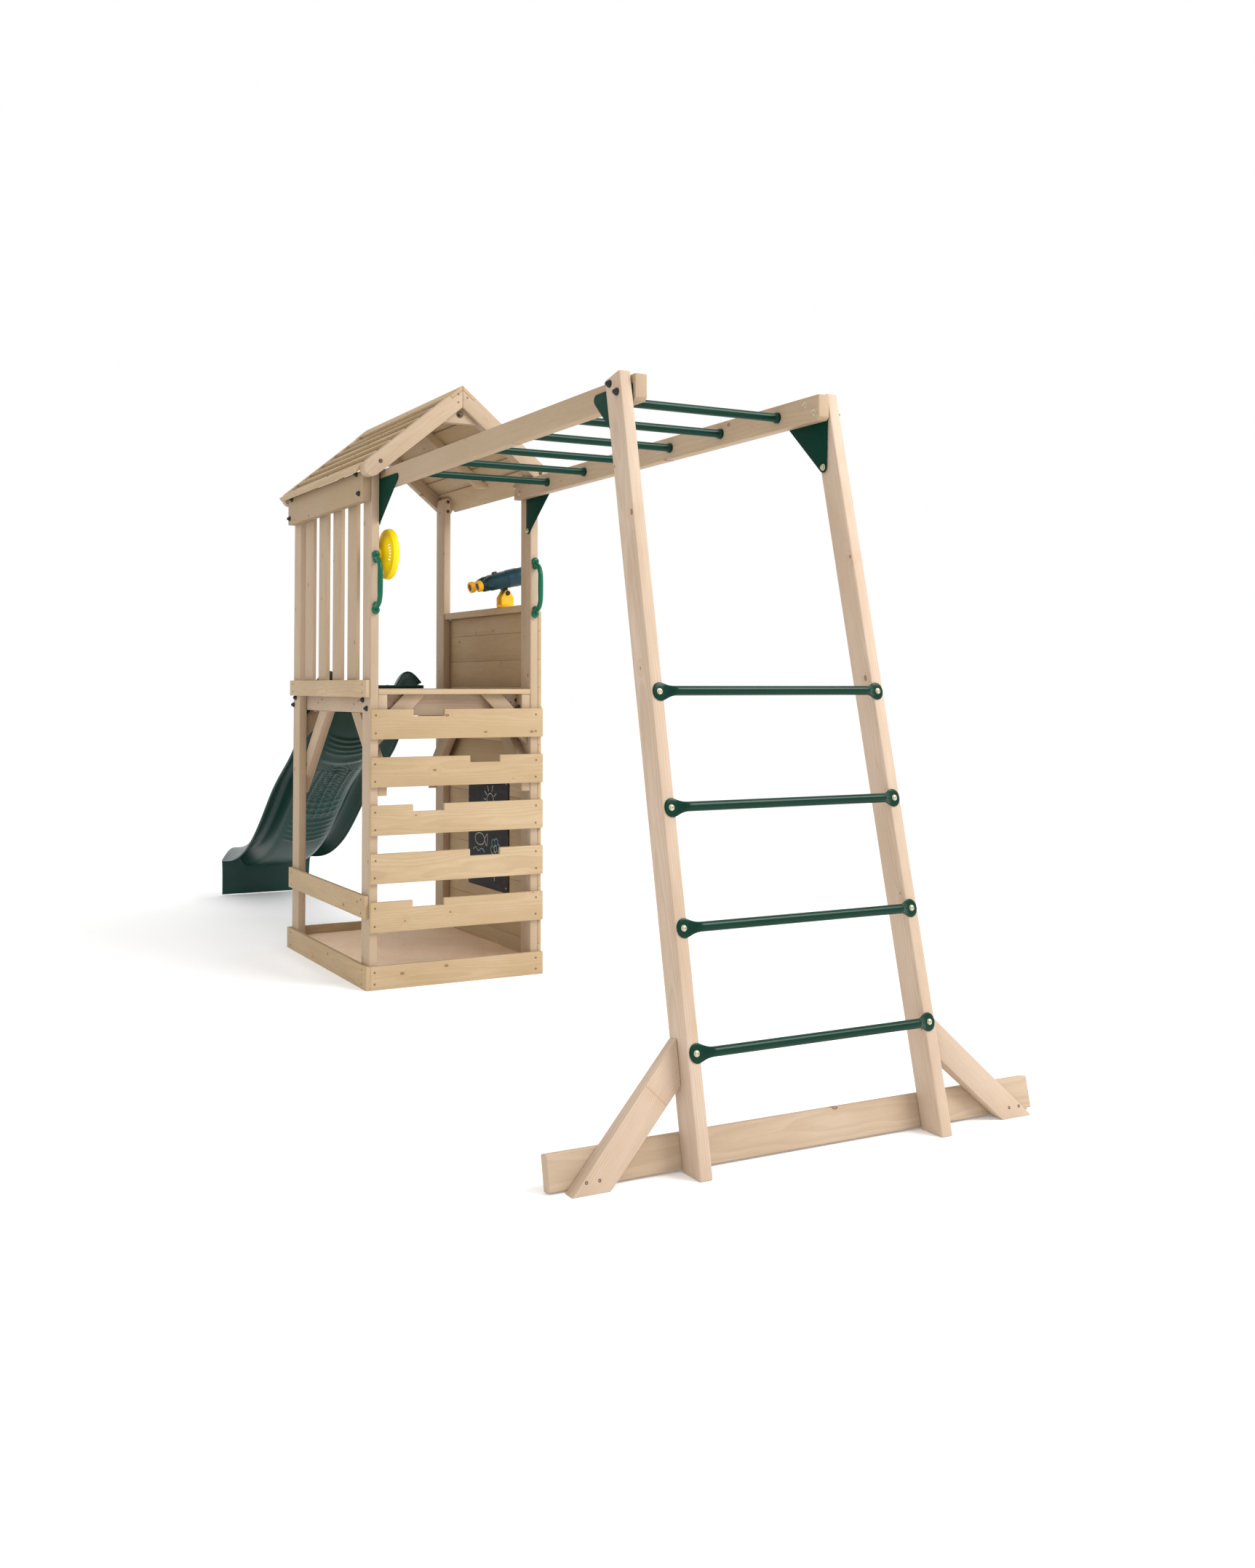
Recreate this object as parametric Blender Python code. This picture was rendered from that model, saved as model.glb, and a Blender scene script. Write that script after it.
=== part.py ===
"""Timber play tower with a wavy slide, a climbing wall of planks and overhead monkey bars.

Metres, +Z up.  +X runs from the slide, through the tower, out along the monkey bars.
Plan positions are given from the front faces of the tower posts (x) and from the
centre line (y); X_SHIFT puts the middle of the bounding box on the origin.
"""
import math

import bmesh
import bpy
from mathutils import Matrix, Vector

for old in list(bpy.data.objects):
    bpy.data.objects.remove(old, do_unlink=True)

# ---- driving dimensions -------------------------------------------------------------
X_SHIFT = 0.1777
GAP = 0.0003

TOWER_LEN = 1.050
HALF_W = 0.375
POST_T = 0.035
POST_D = 0.095
POST_TOP = 2.125
INNER = HALF_W - POST_T

BOARD_T = 0.0176
PIT_H = 0.0936
SAND_TOP = 0.062

PLANK_T = 0.017
PLANK_H = 0.120
PLANK_TOPS = [1.1166 - 0.1925 * i for i in range(5)]
NOTCH_D = 0.028
NOTCH_HIGH = (-0.195, -0.059)
NOTCH_LOW = (0.056, 0.192)

DECK_TOP = 1.198
DECK_T = 0.021
BEAM_TOP = DECK_TOP - DECK_T - GAP
BEAM_T = 0.039
SIDE_BEAM_Z = 1.100
CROSS_BEAM_Z = 1.090
BRACE_W = 0.076
BRACE_FRONT = 0.335
BRACE_BACK = 0.390
CROSS_BRACE = (0.121, 0.216)

SLAT_T = 0.016
SLAT_Z = (1.170, 2.070)
SLAT_X = [(-0.876, -0.763), (-0.678, -0.5665), (-0.483, -0.371), (-0.288, -0.175)]

TOP_BEAM_Z = (1.957, 2.079)
TOP_BEAM_T = 0.038

CLAD_T = 0.016
CLAD_TOP = 1.525
CLAD_PITCH = 0.120
CLAD_FIRST = 0.004
CAP_TOP = 1.560

PITCH = math.radians(39.3)
RAFTER_D = 0.070
BOLT_Z = 2.112
RAFTER_T = 0.058
REAR_RAFTER_T = 0.040
EAVE_RUN = 0.034
ROOF_SLAT_W = 0.0745
ROOF_SLAT_PITCH = 0.0795
ROOF_SLAT_T = 0.015
ROOF_SLATS = 6

RAIL_Y = (0.2964, 0.3354)
RAIL_Z = (2.0065, 2.0835)
RAIL_X = (-0.074, 2.038)
PLATE_Y = (0.3357, 0.3397)
RUNG_X = [1.8334 - 0.3168 * i for i in range(6)]
RUNG_Z = 2.0444
RUNG_R = 0.0135
COLLAR_R = 0.017

LEAN = math.radians(12.0)
SPLAY = math.tan(math.radians(0.7))
FOOT_X = 2.4646
LEG_LEN = 2.139
LEG_D = 0.082
LEG_T = 0.038
LEG_OUT = 0.378
LADDER_S = [0.304 + 0.3075 * k for k in range(4)]

BASE_HALF = 0.775
BASE_H = 0.088
BASE_T = 0.030
BASE_BRACE_T = 0.038

SLIDE_Y = 0.262
SLIDE_T = 0.006
SLIDE_FOOT = 0.004
SLIDE_BED = [
    (-1.060, 1.203), (-1.100, 1.192), (-1.150, 1.155), (-1.230, 1.062), (-1.310, 0.965),
    (-1.390, 0.880), (-1.480, 0.815), (-1.580, 0.757), (-1.680, 0.700), (-1.780, 0.634),
    (-1.880, 0.556), (-1.980, 0.476), (-2.080, 0.402), (-2.180, 0.338), (-2.280, 0.288),
    (-2.380, 0.248), (-2.480, 0.218), (-2.580, 0.197), (-2.680, 0.183), (-2.760, 0.175),
    (-2.796, 0.170),
]
SLIDE_SKIRT = [(-2.806, 0.99, 0.10), (-2.811, 0.985, 0.45), (-2.814, 0.98, 1.0)]
SLIDE_SECTION = [
    (0.000, 0.00), (0.060, 0.00), (0.112, 0.00), (0.138, 0.10), (0.160, 0.55),
    (0.176, 0.88), (0.194, 1.00), (0.214, 0.94), (0.234, 0.74), (0.252, 0.48),
    (0.262, 0.32),
]
SLIDE_WALL = 0.100

HANDLE_Z = (1.521, 1.735)
HANDLE_OUT = 0.060
HANDLE_R = 0.0125

WHEEL_AT = (-0.0475, 1.748)
WHEEL_R = 0.104
WHEEL_DEPTH = 0.068

SCOPE_X = -0.330
SCOPE_Y = 0.375
SCOPE_PIN_Z = 1.623


# ---- materials ----------------------------------------------------------------------
def material(name, color, rough, metal=0.0):
    mat = bpy.data.materials.new(name)
    mat.use_nodes = True
    shader = mat.node_tree.nodes["Principled BSDF"]
    shader.inputs["Base Color"].default_value = (*color, 1.0)
    shader.inputs["Roughness"].default_value = rough
    shader.inputs["Metallic"].default_value = metal
    mat.diffuse_color = (*color, 1.0)
    return mat


TIMBER = material("timber", (0.60, 0.47, 0.33), 0.75)
BOARD = material("board", (0.62, 0.49, 0.32), 0.75)
GREEN_STEEL = material("green_steel", (0.012, 0.055, 0.035), 0.40)
GREEN_PLASTIC = material("green_plastic", (0.015, 0.075, 0.050), 0.45)
YELLOW = material("yellow_plastic", (0.80, 0.55, 0.02), 0.40)
GREY_GREEN = material("dark_plastic", (0.03, 0.06, 0.065), 0.45)
SLATE = material("chalk_surface", (0.015, 0.015, 0.017), 0.70)
SAND = material("sand", (0.55, 0.30, 0.22), 0.95)


# ---- helpers ------------------------------------------------------------------------
def finish(name, bm, mat, smooth=False, origin=(0.0, 0.0, 0.0)):
    bmesh.ops.remove_doubles(bm, verts=bm.verts, dist=0.00001)
    bmesh.ops.recalc_face_normals(bm, faces=bm.faces)
    shift = Vector((X_SHIFT, 0.0, 0.0))
    here = Vector(origin)
    bmesh.ops.translate(bm, verts=bm.verts, vec=-here)
    mesh = bpy.data.meshes.new(name)
    bm.to_mesh(mesh)
    bm.free()
    mesh.polygons.foreach_set("use_smooth", [smooth] * len(mesh.polygons))
    mesh.materials.append(mat)
    obj = bpy.data.objects.new(name, mesh)
    obj.location = here + shift
    bpy.context.collection.objects.link(obj)
    return obj


def prism(outline, axis, lo, hi, bm=None):
    """Closed prism of a flat outline, run from lo to hi along x, y or z."""
    bm = bm or bmesh.new()

    def at(point, t):
        a, b = point
        return {"x": (t, a, b), "y": (a, t, b), "z": (a, b, t)}[axis]

    low = [bm.verts.new(at(p, lo)) for p in outline]
    high = [bm.verts.new(at(p, hi)) for p in outline]
    bm.faces.new(low)
    bm.faces.new(list(reversed(high)))
    count = len(outline)
    for i in range(count):
        j = (i + 1) % count
        bm.faces.new((low[i], low[j], high[j], high[i]))
    bmesh.ops.recalc_face_normals(bm, faces=bm.faces)
    return bm


def rect(a0, a1, b0, b1):
    return [(a0, b0), (a1, b0), (a1, b1), (a0, b1)]


def box(x0, x1, y0, y1, z0, z1):
    return prism(rect(y0, y1, z0, z1), "x", x0, x1)


def arc(ca, cb, radius, start, end, steps):
    out = []
    for i in range(steps + 1):
        ang = math.radians(start + (end - start) * i / steps)
        out.append((ca + radius * math.cos(ang), cb + radius * math.sin(ang)))
    return out


def mirrored(outline):
    return [(-a, b) for a, b in reversed(outline)]


def loft(rings):
    """Closed body through rings of equal point count, capped at both ends."""
    bm = bmesh.new()
    rows = [[bm.verts.new(p) for p in ring] for ring in rings]
    count = len(rows[0])
    for one, two in zip(rows[:-1], rows[1:]):
        for i in range(count):
            j = (i + 1) % count
            bm.faces.new((one[i], one[j], two[j], two[i]))
    bm.faces.new(list(reversed(rows[0])))
    bm.faces.new(rows[-1])
    bmesh.ops.recalc_face_normals(bm, faces=bm.faces)
    return bm


def turned(profile, base, axis, segments):
    """Solid of revolution: profile is (distance along axis, radius)."""
    base = Vector(base)
    axis = Vector(axis).normalized()
    side = axis.orthogonal().normalized()
    other = axis.cross(side)
    rings = []
    for along, radius in profile:
        ring = []
        for k in range(segments):
            ang = 2.0 * math.pi * k / segments
            ring.append(base + axis * along + radius * (side * math.cos(ang) + other * math.sin(ang)))
        rings.append(ring)
    return loft(rings)


def fused(name, bodies, mat, smooth=False, origin=(0.0, 0.0, 0.0)):
    """Union of overlapping bodies in one closed body."""
    main = finish(name, bodies[0], mat, smooth)
    cutters = []
    for k, body in enumerate(bodies[1:]):
        piece = finish(f"{name}_add_{k}", body, mat, smooth)
        piece.hide_render = True
        piece.display_type = "WIRE"
        cutters.append(piece)
        mod = main.modifiers.new(f"join_{k}", "BOOLEAN")
        mod.operation = "UNION"
        mod.solver = "EXACT"
        mod.object = piece
    bpy.context.view_layer.update()
    graph = bpy.context.evaluated_depsgraph_get()
    mesh = bpy.data.meshes.new_from_object(main.evaluated_get(graph))
    main.modifiers.clear()
    main.data = mesh
    bm = bmesh.new()
    bm.from_mesh(mesh)
    bmesh.ops.remove_doubles(bm, verts=bm.verts, dist=0.00001)
    bmesh.ops.dissolve_limit(bm, angle_limit=0.0005, verts=bm.verts, edges=bm.edges)
    here = Vector(origin)
    bmesh.ops.translate(bm, verts=bm.verts, vec=-here)
    bm.to_mesh(mesh)
    bm.free()
    mesh.polygons.foreach_set("use_smooth", [smooth] * len(mesh.polygons))
    main.location = here + Vector((X_SHIFT, 0.0, 0.0))
    for piece in cutters:
        bpy.data.objects.remove(piece, do_unlink=True)
    return main


# ---- tower posts, sandpit and low boards --------------------------------------------
def post(name, x0, side):
    inner = side * INNER
    outer = side * HALF_W
    mid = (inner + outer) / 2.0
    radius = POST_T / 2.0
    outline = [(mid - radius, 0.0), (mid + radius, 0.0)]
    outline += arc(mid, POST_TOP - radius, radius, 0.0, 180.0, 10)
    return finish(name, prism(outline, "x", x0, x0 + POST_D), TIMBER)


post("post_front_left", -POST_D, -1.0)
post("post_front_right", -POST_D, 1.0)
post("post_back_left", -TOWER_LEN, -1.0)
post("post_back_right", -TOWER_LEN, 1.0)

LEFT_SKIN = (-HALF_W - BOARD_T, -HALF_W - GAP)
FRONT_SKIN = (GAP, GAP + BOARD_T)
RIGHT_EDGE = HALF_W + CLAD_T

finish("sandpit_board_left", box(-TOWER_LEN - BOARD_T, BOARD_T, *LEFT_SKIN, 0.0, PIT_H), BOARD)
finish("sandpit_board_front", box(*FRONT_SKIN, -HALF_W, RIGHT_EDGE, 0.0, PIT_H), BOARD)
back_skin = (-TOWER_LEN - BOARD_T, -TOWER_LEN - GAP)
finish("sandpit_board_back", box(*back_skin, -HALF_W, RIGHT_EDGE, 0.0, PIT_H), BOARD)

sx0, sx1 = -TOWER_LEN + GAP, -GAP
sy = HALF_W - GAP
px0, px1 = -TOWER_LEN + POST_D + GAP, -POST_D - GAP
py = INNER - GAP
sand_outline = [
    (px0, -sy), (px1, -sy), (px1, -py), (sx1, -py), (sx1, py), (px1, py),
    (px1, sy), (px0, sy), (px0, py), (sx0, py), (sx0, -py), (px0, -py),
]
finish("sand_bed", prism(sand_outline, "z", 0.0, SAND_TOP), SAND)

finish("low_board_left", box(-TOWER_LEN, -0.006, *LEFT_SKIN, 0.280, 0.371), BOARD)
finish("deck_board_left", box(-TOWER_LEN, -0.005, *LEFT_SKIN, 1.165, 1.235), BOARD)


# ---- climbing planks ----------------------------------------------------------------
for i, top in enumerate(PLANK_TOPS):
    n0, n1 = NOTCH_HIGH if i % 2 == 0 else NOTCH_LOW
    low = top - PLANK_H
    outline = [
        (-HALF_W, low), (RIGHT_EDGE, low), (RIGHT_EDGE, top), (n1, top),
        (n1, top - NOTCH_D), (n0, top - NOTCH_D), (n0, top), (-HALF_W, top),
    ]
    finish(f"climb_plank_{i + 1}", prism(outline, "x", GAP, GAP + PLANK_T), BOARD)


# ---- deck ---------------------------------------------------------------------------
finish("deck_floor", box(-TOWER_LEN, 0.0, -INNER + GAP, INNER - GAP, DECK_TOP - DECK_T, DECK_TOP), BOARD)

beam_in = INNER - BEAM_T
wide = BRACE_W * math.sqrt(2.0)


def side_frame(name, side):
    z0 = SIDE_BEAM_Z
    end = 0.003
    tip_front = z0 - BRACE_FRONT + end
    tip_back = z0 - BRACE_BACK + end
    outline = [
        (-TOWER_LEN + end, BEAM_TOP), (-end, BEAM_TOP), (-end, z0),
        (-BRACE_FRONT + wide, z0), (-end, tip_front + wide), (-end, tip_front),
        (-BRACE_FRONT, z0), (-TOWER_LEN + BRACE_BACK, z0), (-TOWER_LEN + end, tip_back),
        (-TOWER_LEN + end, tip_back + wide), (-TOWER_LEN + BRACE_BACK - wide, z0),
        (-TOWER_LEN + end, z0),
    ]
    lo, hi = sorted((side * beam_in, side * (INNER - GAP)))
    return finish(name, prism(outline, "y", lo, hi), TIMBER)


side_frame("deck_frame_left", -1.0)
side_frame("deck_frame_right", 1.0)


def cross_frame(name, beam_x, brace_x):
    half = beam_in - GAP
    beam = box(*beam_x, -half, half, CROSS_BEAM_Z, BEAM_TOP)
    foot = INNER - GAP
    slant = [
        (-foot + CROSS_BRACE[0], BEAM_TOP), (-foot, BEAM_TOP - CROSS_BRACE[0]),
        (-foot, BEAM_TOP - CROSS_BRACE[1]), (-foot + CROSS_BRACE[1], BEAM_TOP),
    ]
    left = prism(slant, "x", *brace_x)
    right = prism(mirrored(slant), "x", *brace_x)
    return fused(name, [beam, left, right], TIMBER)


cross_frame("deck_frame_front", (-0.095, -0.057), (-0.058, -0.030))
cross_frame("deck_frame_back", (-TOWER_LEN + 0.057, -TOWER_LEN + 0.095),
            (-TOWER_LEN + 0.030, -TOWER_LEN + 0.058))


# ---- left wall and right wall -------------------------------------------------------
for i, (x0, x1) in enumerate(SLAT_X):
    finish(f"wall_slat_{i + 1}", box(x0, x1, -HALF_W + GAP, -HALF_W + GAP + SLAT_T, *SLAT_Z), TIMBER)

finish("top_beam_left", box(-1.030, -GAP, -HALF_W - TOP_BEAM_T, -HALF_W - GAP, *TOP_BEAM_Z), TIMBER)

clad_in = HALF_W + GAP
clad_out = HALF_W + GAP + CLAD_T
seams = [CLAD_FIRST + CLAD_PITCH * k for k in range(1, 13)]
cut = 0.0025
inner_side = []
outer_side = []
for z in seams:
    inner_side += [(clad_in, z - cut), (clad_in + cut, z), (clad_in, z + cut)]
    outer_side += [(clad_out, z - cut), (clad_out - cut, z), (clad_out, z + cut)]
clad_outline = [(clad_in, 0.0), (clad_out, 0.0)] + outer_side
clad_outline += [(clad_out, CLAD_TOP + 0.004), (clad_in, CLAD_TOP + 0.004)] + list(reversed(inner_side))
cladding = prism(clad_outline, "x", -TOWER_LEN, 0.0)
cap = box(-TOWER_LEN + POST_D + GAP, -POST_D - GAP, HALF_W - 0.030, HALF_W + 0.026, CLAD_TOP, CAP_TOP)
fused("cladding_right", [cladding, cap], BOARD)

finish("chalkboard", box(-0.715, -0.281, HALF_W - 0.006, HALF_W, 0.295, 0.800), SLATE)


# ---- roof ---------------------------------------------------------------------------
tan_p, cos_p, sin_p = math.tan(PITCH), math.cos(PITCH), math.sin(PITCH)
bolt_y = HALF_W - POST_T / 2.0
ridge_mid = BOLT_Z + bolt_y * tan_p
half_v = RAFTER_D / 2.0 / cos_p
ridge_top = ridge_mid + half_v
round_y = bolt_y + EAVE_RUN
round_z = BOLT_Z - EAVE_RUN * tan_p
slope_deg = math.degrees(PITCH)


def on_slope(s, below):
    """Point s metres down the right slope, 'below' metres under the rafter top."""
    return (s * cos_p - below * sin_p, ridge_top - s * sin_p - below * cos_p)


def roof_frame(name, x0, x1, plate_x):
    half = RAFTER_D / 2.0
    seat = ROOF_SLAT_T + GAP
    step = ROOF_SLAT_W + GAP
    right = [on_slope(step, seat), on_slope(step, 0.0)]
    right += arc(round_y, round_z, half, 90.0 - slope_deg, -90.0 - slope_deg, 14)
    outline = [(0.0, ridge_top - seat / cos_p)] + right + [(0.0, ridge_mid - half_v)]
    outline += [(-a, b) for a, b in reversed(right)]
    frame = prism(outline, "x", x0, x1)
    low = 2.296
    span = (ridge_mid - half_v - low) / tan_p
    gusset = [(-span - 0.002, low), (span + 0.002, low), (0.0, ridge_mid - half_v + 0.004)]
    return fused(name, [frame, prism(gusset, "x", *plate_x)], TIMBER)


roof_frame("roof_frame_front", GAP, RAFTER_T, (GAP + 0.002, RAFTER_T - 0.020))
roof_frame("roof_frame_back", -TOWER_LEN - REAR_RAFTER_T, -TOWER_LEN - GAP,
           (-TOWER_LEN - REAR_RAFTER_T + 0.010, -TOWER_LEN - GAP - 0.002))


def roof_slope(name, side):
    bodies = []
    recess = 0.003
    batten_top = recess + ROOF_SLAT_T - 0.001
    batten = [
        on_slope(0.060, batten_top), on_slope(0.500, batten_top),
        on_slope(0.465, batten_top + 0.036), on_slope(0.060, batten_top + 0.036),
    ]
    pieces = [(batten, -0.520, -0.480)]
    for k in range(1, ROOF_SLATS + 1):
        s0 = ROOF_SLAT_PITCH * k
        s1 = s0 + ROOF_SLAT_W
        slat = [
            on_slope(s0, recess), on_slope(s1, recess),
            on_slope(s1, recess + ROOF_SLAT_T), on_slope(s0, recess + ROOF_SLAT_T),
        ]
        pieces.append((slat, -TOWER_LEN, 0.0))
    for outline, x0, x1 in pieces:
        if side < 0:
            outline = mirrored(outline)
        bodies.append(prism(outline, "x", x0, x1))
    return fused(name, bodies, BOARD)


roof_slope("roof_slope_left", -1.0)
roof_slope("roof_slope_right", 1.0)

cap_top = [on_slope(ROOF_SLAT_W, 0.0), on_slope(ROOF_SLAT_W, ROOF_SLAT_T)]
cap_outline = [(0.0, ridge_top)] + cap_top + [(0.0, ridge_top - ROOF_SLAT_T / cos_p)]
cap_outline += [(-a, b) for a, b in reversed(cap_top)]
finish("roof_ridge_cap", prism(cap_outline, "x", -1.118, RAFTER_T), BOARD)


# ---- monkey bar rails and overhead rungs --------------------------------------------
for name, side in (("rail_left", -1.0), ("rail_right", 1.0)):
    z0, z1 = RAIL_Z
    outline = [
        (RAIL_X[0], z0), (RAIL_X[1] - 0.010, z0), (RAIL_X[1], z0 + 0.010),
        (RAIL_X[1], z1), (RAIL_X[0], z1),
    ]
    lo, hi = sorted((side * RAIL_Y[0], side * RAIL_Y[1]))
    finish(name, prism(outline, "y", lo, hi), TIMBER)

rung_half = RAIL_Y[0] - GAP
collar = 0.012
rung_profile = [
    (-rung_half, COLLAR_R), (-rung_half + collar, COLLAR_R), (-rung_half + collar + 0.004, RUNG_R),
    (rung_half - collar - 0.004, RUNG_R), (rung_half - collar, COLLAR_R), (rung_half, COLLAR_R),
]
for i, x in enumerate(RUNG_X):
    bar = turned(rung_profile, (x, 0.0, RUNG_Z), (0.0, 1.0, 0.0), 20)
    finish(f"overhead_rung_{i + 1}", bar, GREEN_STEEL, True)


# ---- ladder legs --------------------------------------------------------------------
up = Vector((-math.sin(LEAN), 0.0, math.cos(LEAN)))
out = Vector((math.cos(LEAN), 0.0, math.sin(LEAN)))
foot = Vector((FOOT_X, 0.0, 0.0))
leg_top_z = (foot + up * LEG_LEN).z


def splayed(z):
    return (leg_top_z - z) * SPLAY


def leg(name, side):
    bm = bmesh.new()
    top_front = foot + up * LEG_LEN
    top_back = top_front - out * LEG_D
    back_foot_x = FOOT_X - LEG_D / math.cos(LEAN)
    outline = [(FOOT_X, 0.0), (top_front.x, top_front.z), (top_back.x, top_back.z), (back_foot_x, 0.0)]
    prism(outline, "y", LEG_OUT - LEG_T, LEG_OUT, bm)
    for vert in bm.verts:
        vert.co.y = side * (vert.co.y + splayed(vert.co.z))
    return finish(name, bm, TIMBER)


leg("leg_left", -1.0)
leg("leg_right", 1.0)

ladder_steps = [
    (0.0000, 0.010, 0.0028), (0.0030, 0.017, 0.0030), (0.0110, 0.0235, 0.0030),
    (0.0220, 0.0250, 0.0030), (0.0340, 0.0225, 0.0032), (0.0450, 0.0170, 0.0060),
    (0.0560, 0.0135, 0.0110), (0.0650, 0.0130, 0.0130),
]
for i, s in enumerate(LADDER_S):
    centre = foot + up * s
    reach = LEG_OUT - 0.005 + splayed(centre.z)
    stations = [(-reach + d, w, t) for d, w, t in ladder_steps]
    stations += [(reach - d, w, t) for d, w, t in reversed(ladder_steps)]
    rings = []
    for y, w, t in stations:
        ring = []
        for k in range(18):
            ang = 2.0 * math.pi * k / 18
            point = centre + out * (GAP + t + t * math.cos(ang)) + up * (w * math.sin(ang))
            ring.append((point.x, y, point.z))
        rings.append(ring)
    finish(f"ladder_rung_{i + 1}", loft(rings), GREEN_STEEL, True)


# ---- corner brackets ----------------------------------------------------------------
def plate(name, corners, side):
    """Triangular plate with rounded corners around three bolt centres."""
    radius = 0.015
    outline = []
    count = len(corners)
    for i, (a, b) in enumerate(corners):
        pa, pb = corners[i - 1]
        na, nb = corners[(i + 1) % count]
        start = math.degrees(math.atan2(b - pb, a - pa)) - 90.0
        end = math.degrees(math.atan2(nb - b, na - a)) - 90.0
        while end < start:
            end += 360.0
        outline += arc(a, b, radius, start, end, 5)
    lo, hi = sorted((side * PLATE_Y[0], side * PLATE_Y[1]))
    return finish(name, prism(outline, "y", lo, hi), GREEN_STEEL)


far_corners = [(-0.020, 2.033), (-0.020, 1.873), (0.187, 2.033)]
near_corners = [(2.013, 2.047), (1.820, 2.045), (2.004, 1.869)]
for tag, side in (("left", -1.0), ("right", 1.0)):
    plate(f"bracket_tower_{tag}", far_corners, side)
    plate(f"bracket_ladder_{tag}", near_corners, side)


# ---- ladder base --------------------------------------------------------------------
def ladder_point(y, s, depth):
    """Point on the ladder: y across, s up from the foot, depth in front of the back plane."""
    back = foot - out * LEG_D
    base = back + up * (-back.z / up.z)
    point = base + up * s + out * depth
    return (point.x, y, point.z)


lift = 0.0067
rings = []
for y in (-BASE_HALF, BASE_HALF):
    rings.append([
        ladder_point(y, lift, -GAP), ladder_point(y, lift + BASE_H, -GAP),
        ladder_point(y, lift + BASE_H, -GAP - BASE_T), ladder_point(y, lift, -GAP - BASE_T),
    ])
finish("base_plank", loft(rings), TIMBER)


def base_brace(name, side):
    def edge(s):
        z = s * math.cos(LEAN)
        return LEG_OUT + splayed(z) + GAP

    outline = [(edge(0.325), 0.325), (edge(0.210), 0.210), (0.628, 0.0), (0.735, 0.0)]
    rings = []
    for depth in (0.0, BASE_BRACE_T):
        ring = []
        for y, s in outline:
            x, _, z = ladder_point(y, s, depth)
            if s == 0.0:
                x += z * math.tan(LEAN)
                z = 0.0
            ring.append((x, side * y, z))
        rings.append(ring)
    return finish(name, loft(rings), TIMBER)


base_brace("base_brace_left", -1.0)
base_brace("base_brace_right", 1.0)


# ---- slide --------------------------------------------------------------------------
def slide_rows():
    half = SLIDE_SECTION
    section = [(-y, h) for y, h in reversed(half[1:])] + list(half)
    rows = []
    for i, (x, z) in enumerate(SLIDE_BED):
        wall = SLIDE_WALL
        if i < 4:
            wall = SLIDE_WALL * (0.72, 0.76, 0.84, 0.93)[i]
        rows.append([Vector((x, y, z + wall * h)) for y, h in section])
    last = rows[-1]
    for x, squeeze, drop in SLIDE_SKIRT:
        rows.append([Vector((x, p.y * squeeze, p.z + (SLIDE_FOOT - p.z) * drop)) for p in last])
    return rows


def slide():
    top = slide_rows()
    rows, cols = len(top), len(top[0])
    low = []
    for i in range(rows):
        line = []
        for j in range(cols):
            along = top[min(i + 1, rows - 1)][j] - top[max(i - 1, 0)][j]
            across = top[i][min(j + 1, cols - 1)] - top[i][max(j - 1, 0)]
            normal = across.cross(along).normalized()
            line.append(top[i][j] + normal * SLIDE_T)
        low.append(line)
    bm = bmesh.new()
    a = [[bm.verts.new(p) for p in line] for line in top]
    b = [[bm.verts.new(p) for p in line] for line in low]
    for i in range(rows - 1):
        for j in range(cols - 1):
            bm.faces.new((a[i][j], a[i][j + 1], a[i + 1][j + 1], a[i + 1][j]))
            bm.faces.new((b[i][j], b[i + 1][j], b[i + 1][j + 1], b[i][j + 1]))
        for j in (0, cols - 1):
            bm.faces.new((a[i][j], b[i][j], b[i + 1][j], a[i + 1][j]))
    for j in range(cols - 1):
        for i in (0, rows - 1):
            bm.faces.new((a[i][j], a[i][j + 1], b[i][j + 1], b[i][j]))
    bmesh.ops.recalc_face_normals(bm, faces=bm.faces)
    lip = box(-TOWER_LEN - 0.030, -TOWER_LEN + 0.045, -0.270, 0.270, DECK_TOP + GAP, DECK_TOP + 0.016)
    return fused("slide", [bm, lip], GREEN_PLASTIC, True)


slide()


# ---- grab handles -------------------------------------------------------------------
def handle(name, side):
    z0, z1 = HANDLE_Z
    path = [(GAP, z1, 0.021), (0.009, z1, 0.021), (0.012, z1, 0.0175)]
    bend = 0.036
    for k in range(7):
        ang = math.radians(90.0 * k / 6.0)
        x = HANDLE_OUT - bend + bend * math.sin(ang)
        z = z1 - bend + bend * math.cos(ang)
        path.append((x, z, HANDLE_R))
    lower = [(x, z0 + z1 - z, r) for x, z, r in reversed(path)]
    path += lower
    y = side * (HALF_W - POST_T / 2.0)
    rings = []
    count = len(path)
    for i, (x, z, radius) in enumerate(path):
        px, pz, _ = path[max(i - 1, 0)]
        nx, nz, _ = path[min(i + 1, count - 1)]
        along = Vector((nx - px, 0.0, nz - pz)).normalized()
        if i < 3:
            along = Vector((1.0, 0.0, 0.0))
        if i > count - 4:
            along = Vector((-1.0, 0.0, 0.0))
        across = Vector((0.0, 1.0, 0.0))
        normal = along.cross(across)
        squash = min(radius, POST_T / 2.0 - 0.0002)
        ring = []
        for k in range(16):
            ang = 2.0 * math.pi * k / 16
            point = Vector((x, y, z)) + across * (squash * math.cos(ang)) + normal * (radius * math.sin(ang))
            ring.append(point)
        rings.append(ring)
    return finish(name, loft(rings), GREEN_PLASTIC, True)


handle("grab_handle_left", -1.0)
handle("grab_handle_right", 1.0)


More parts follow.
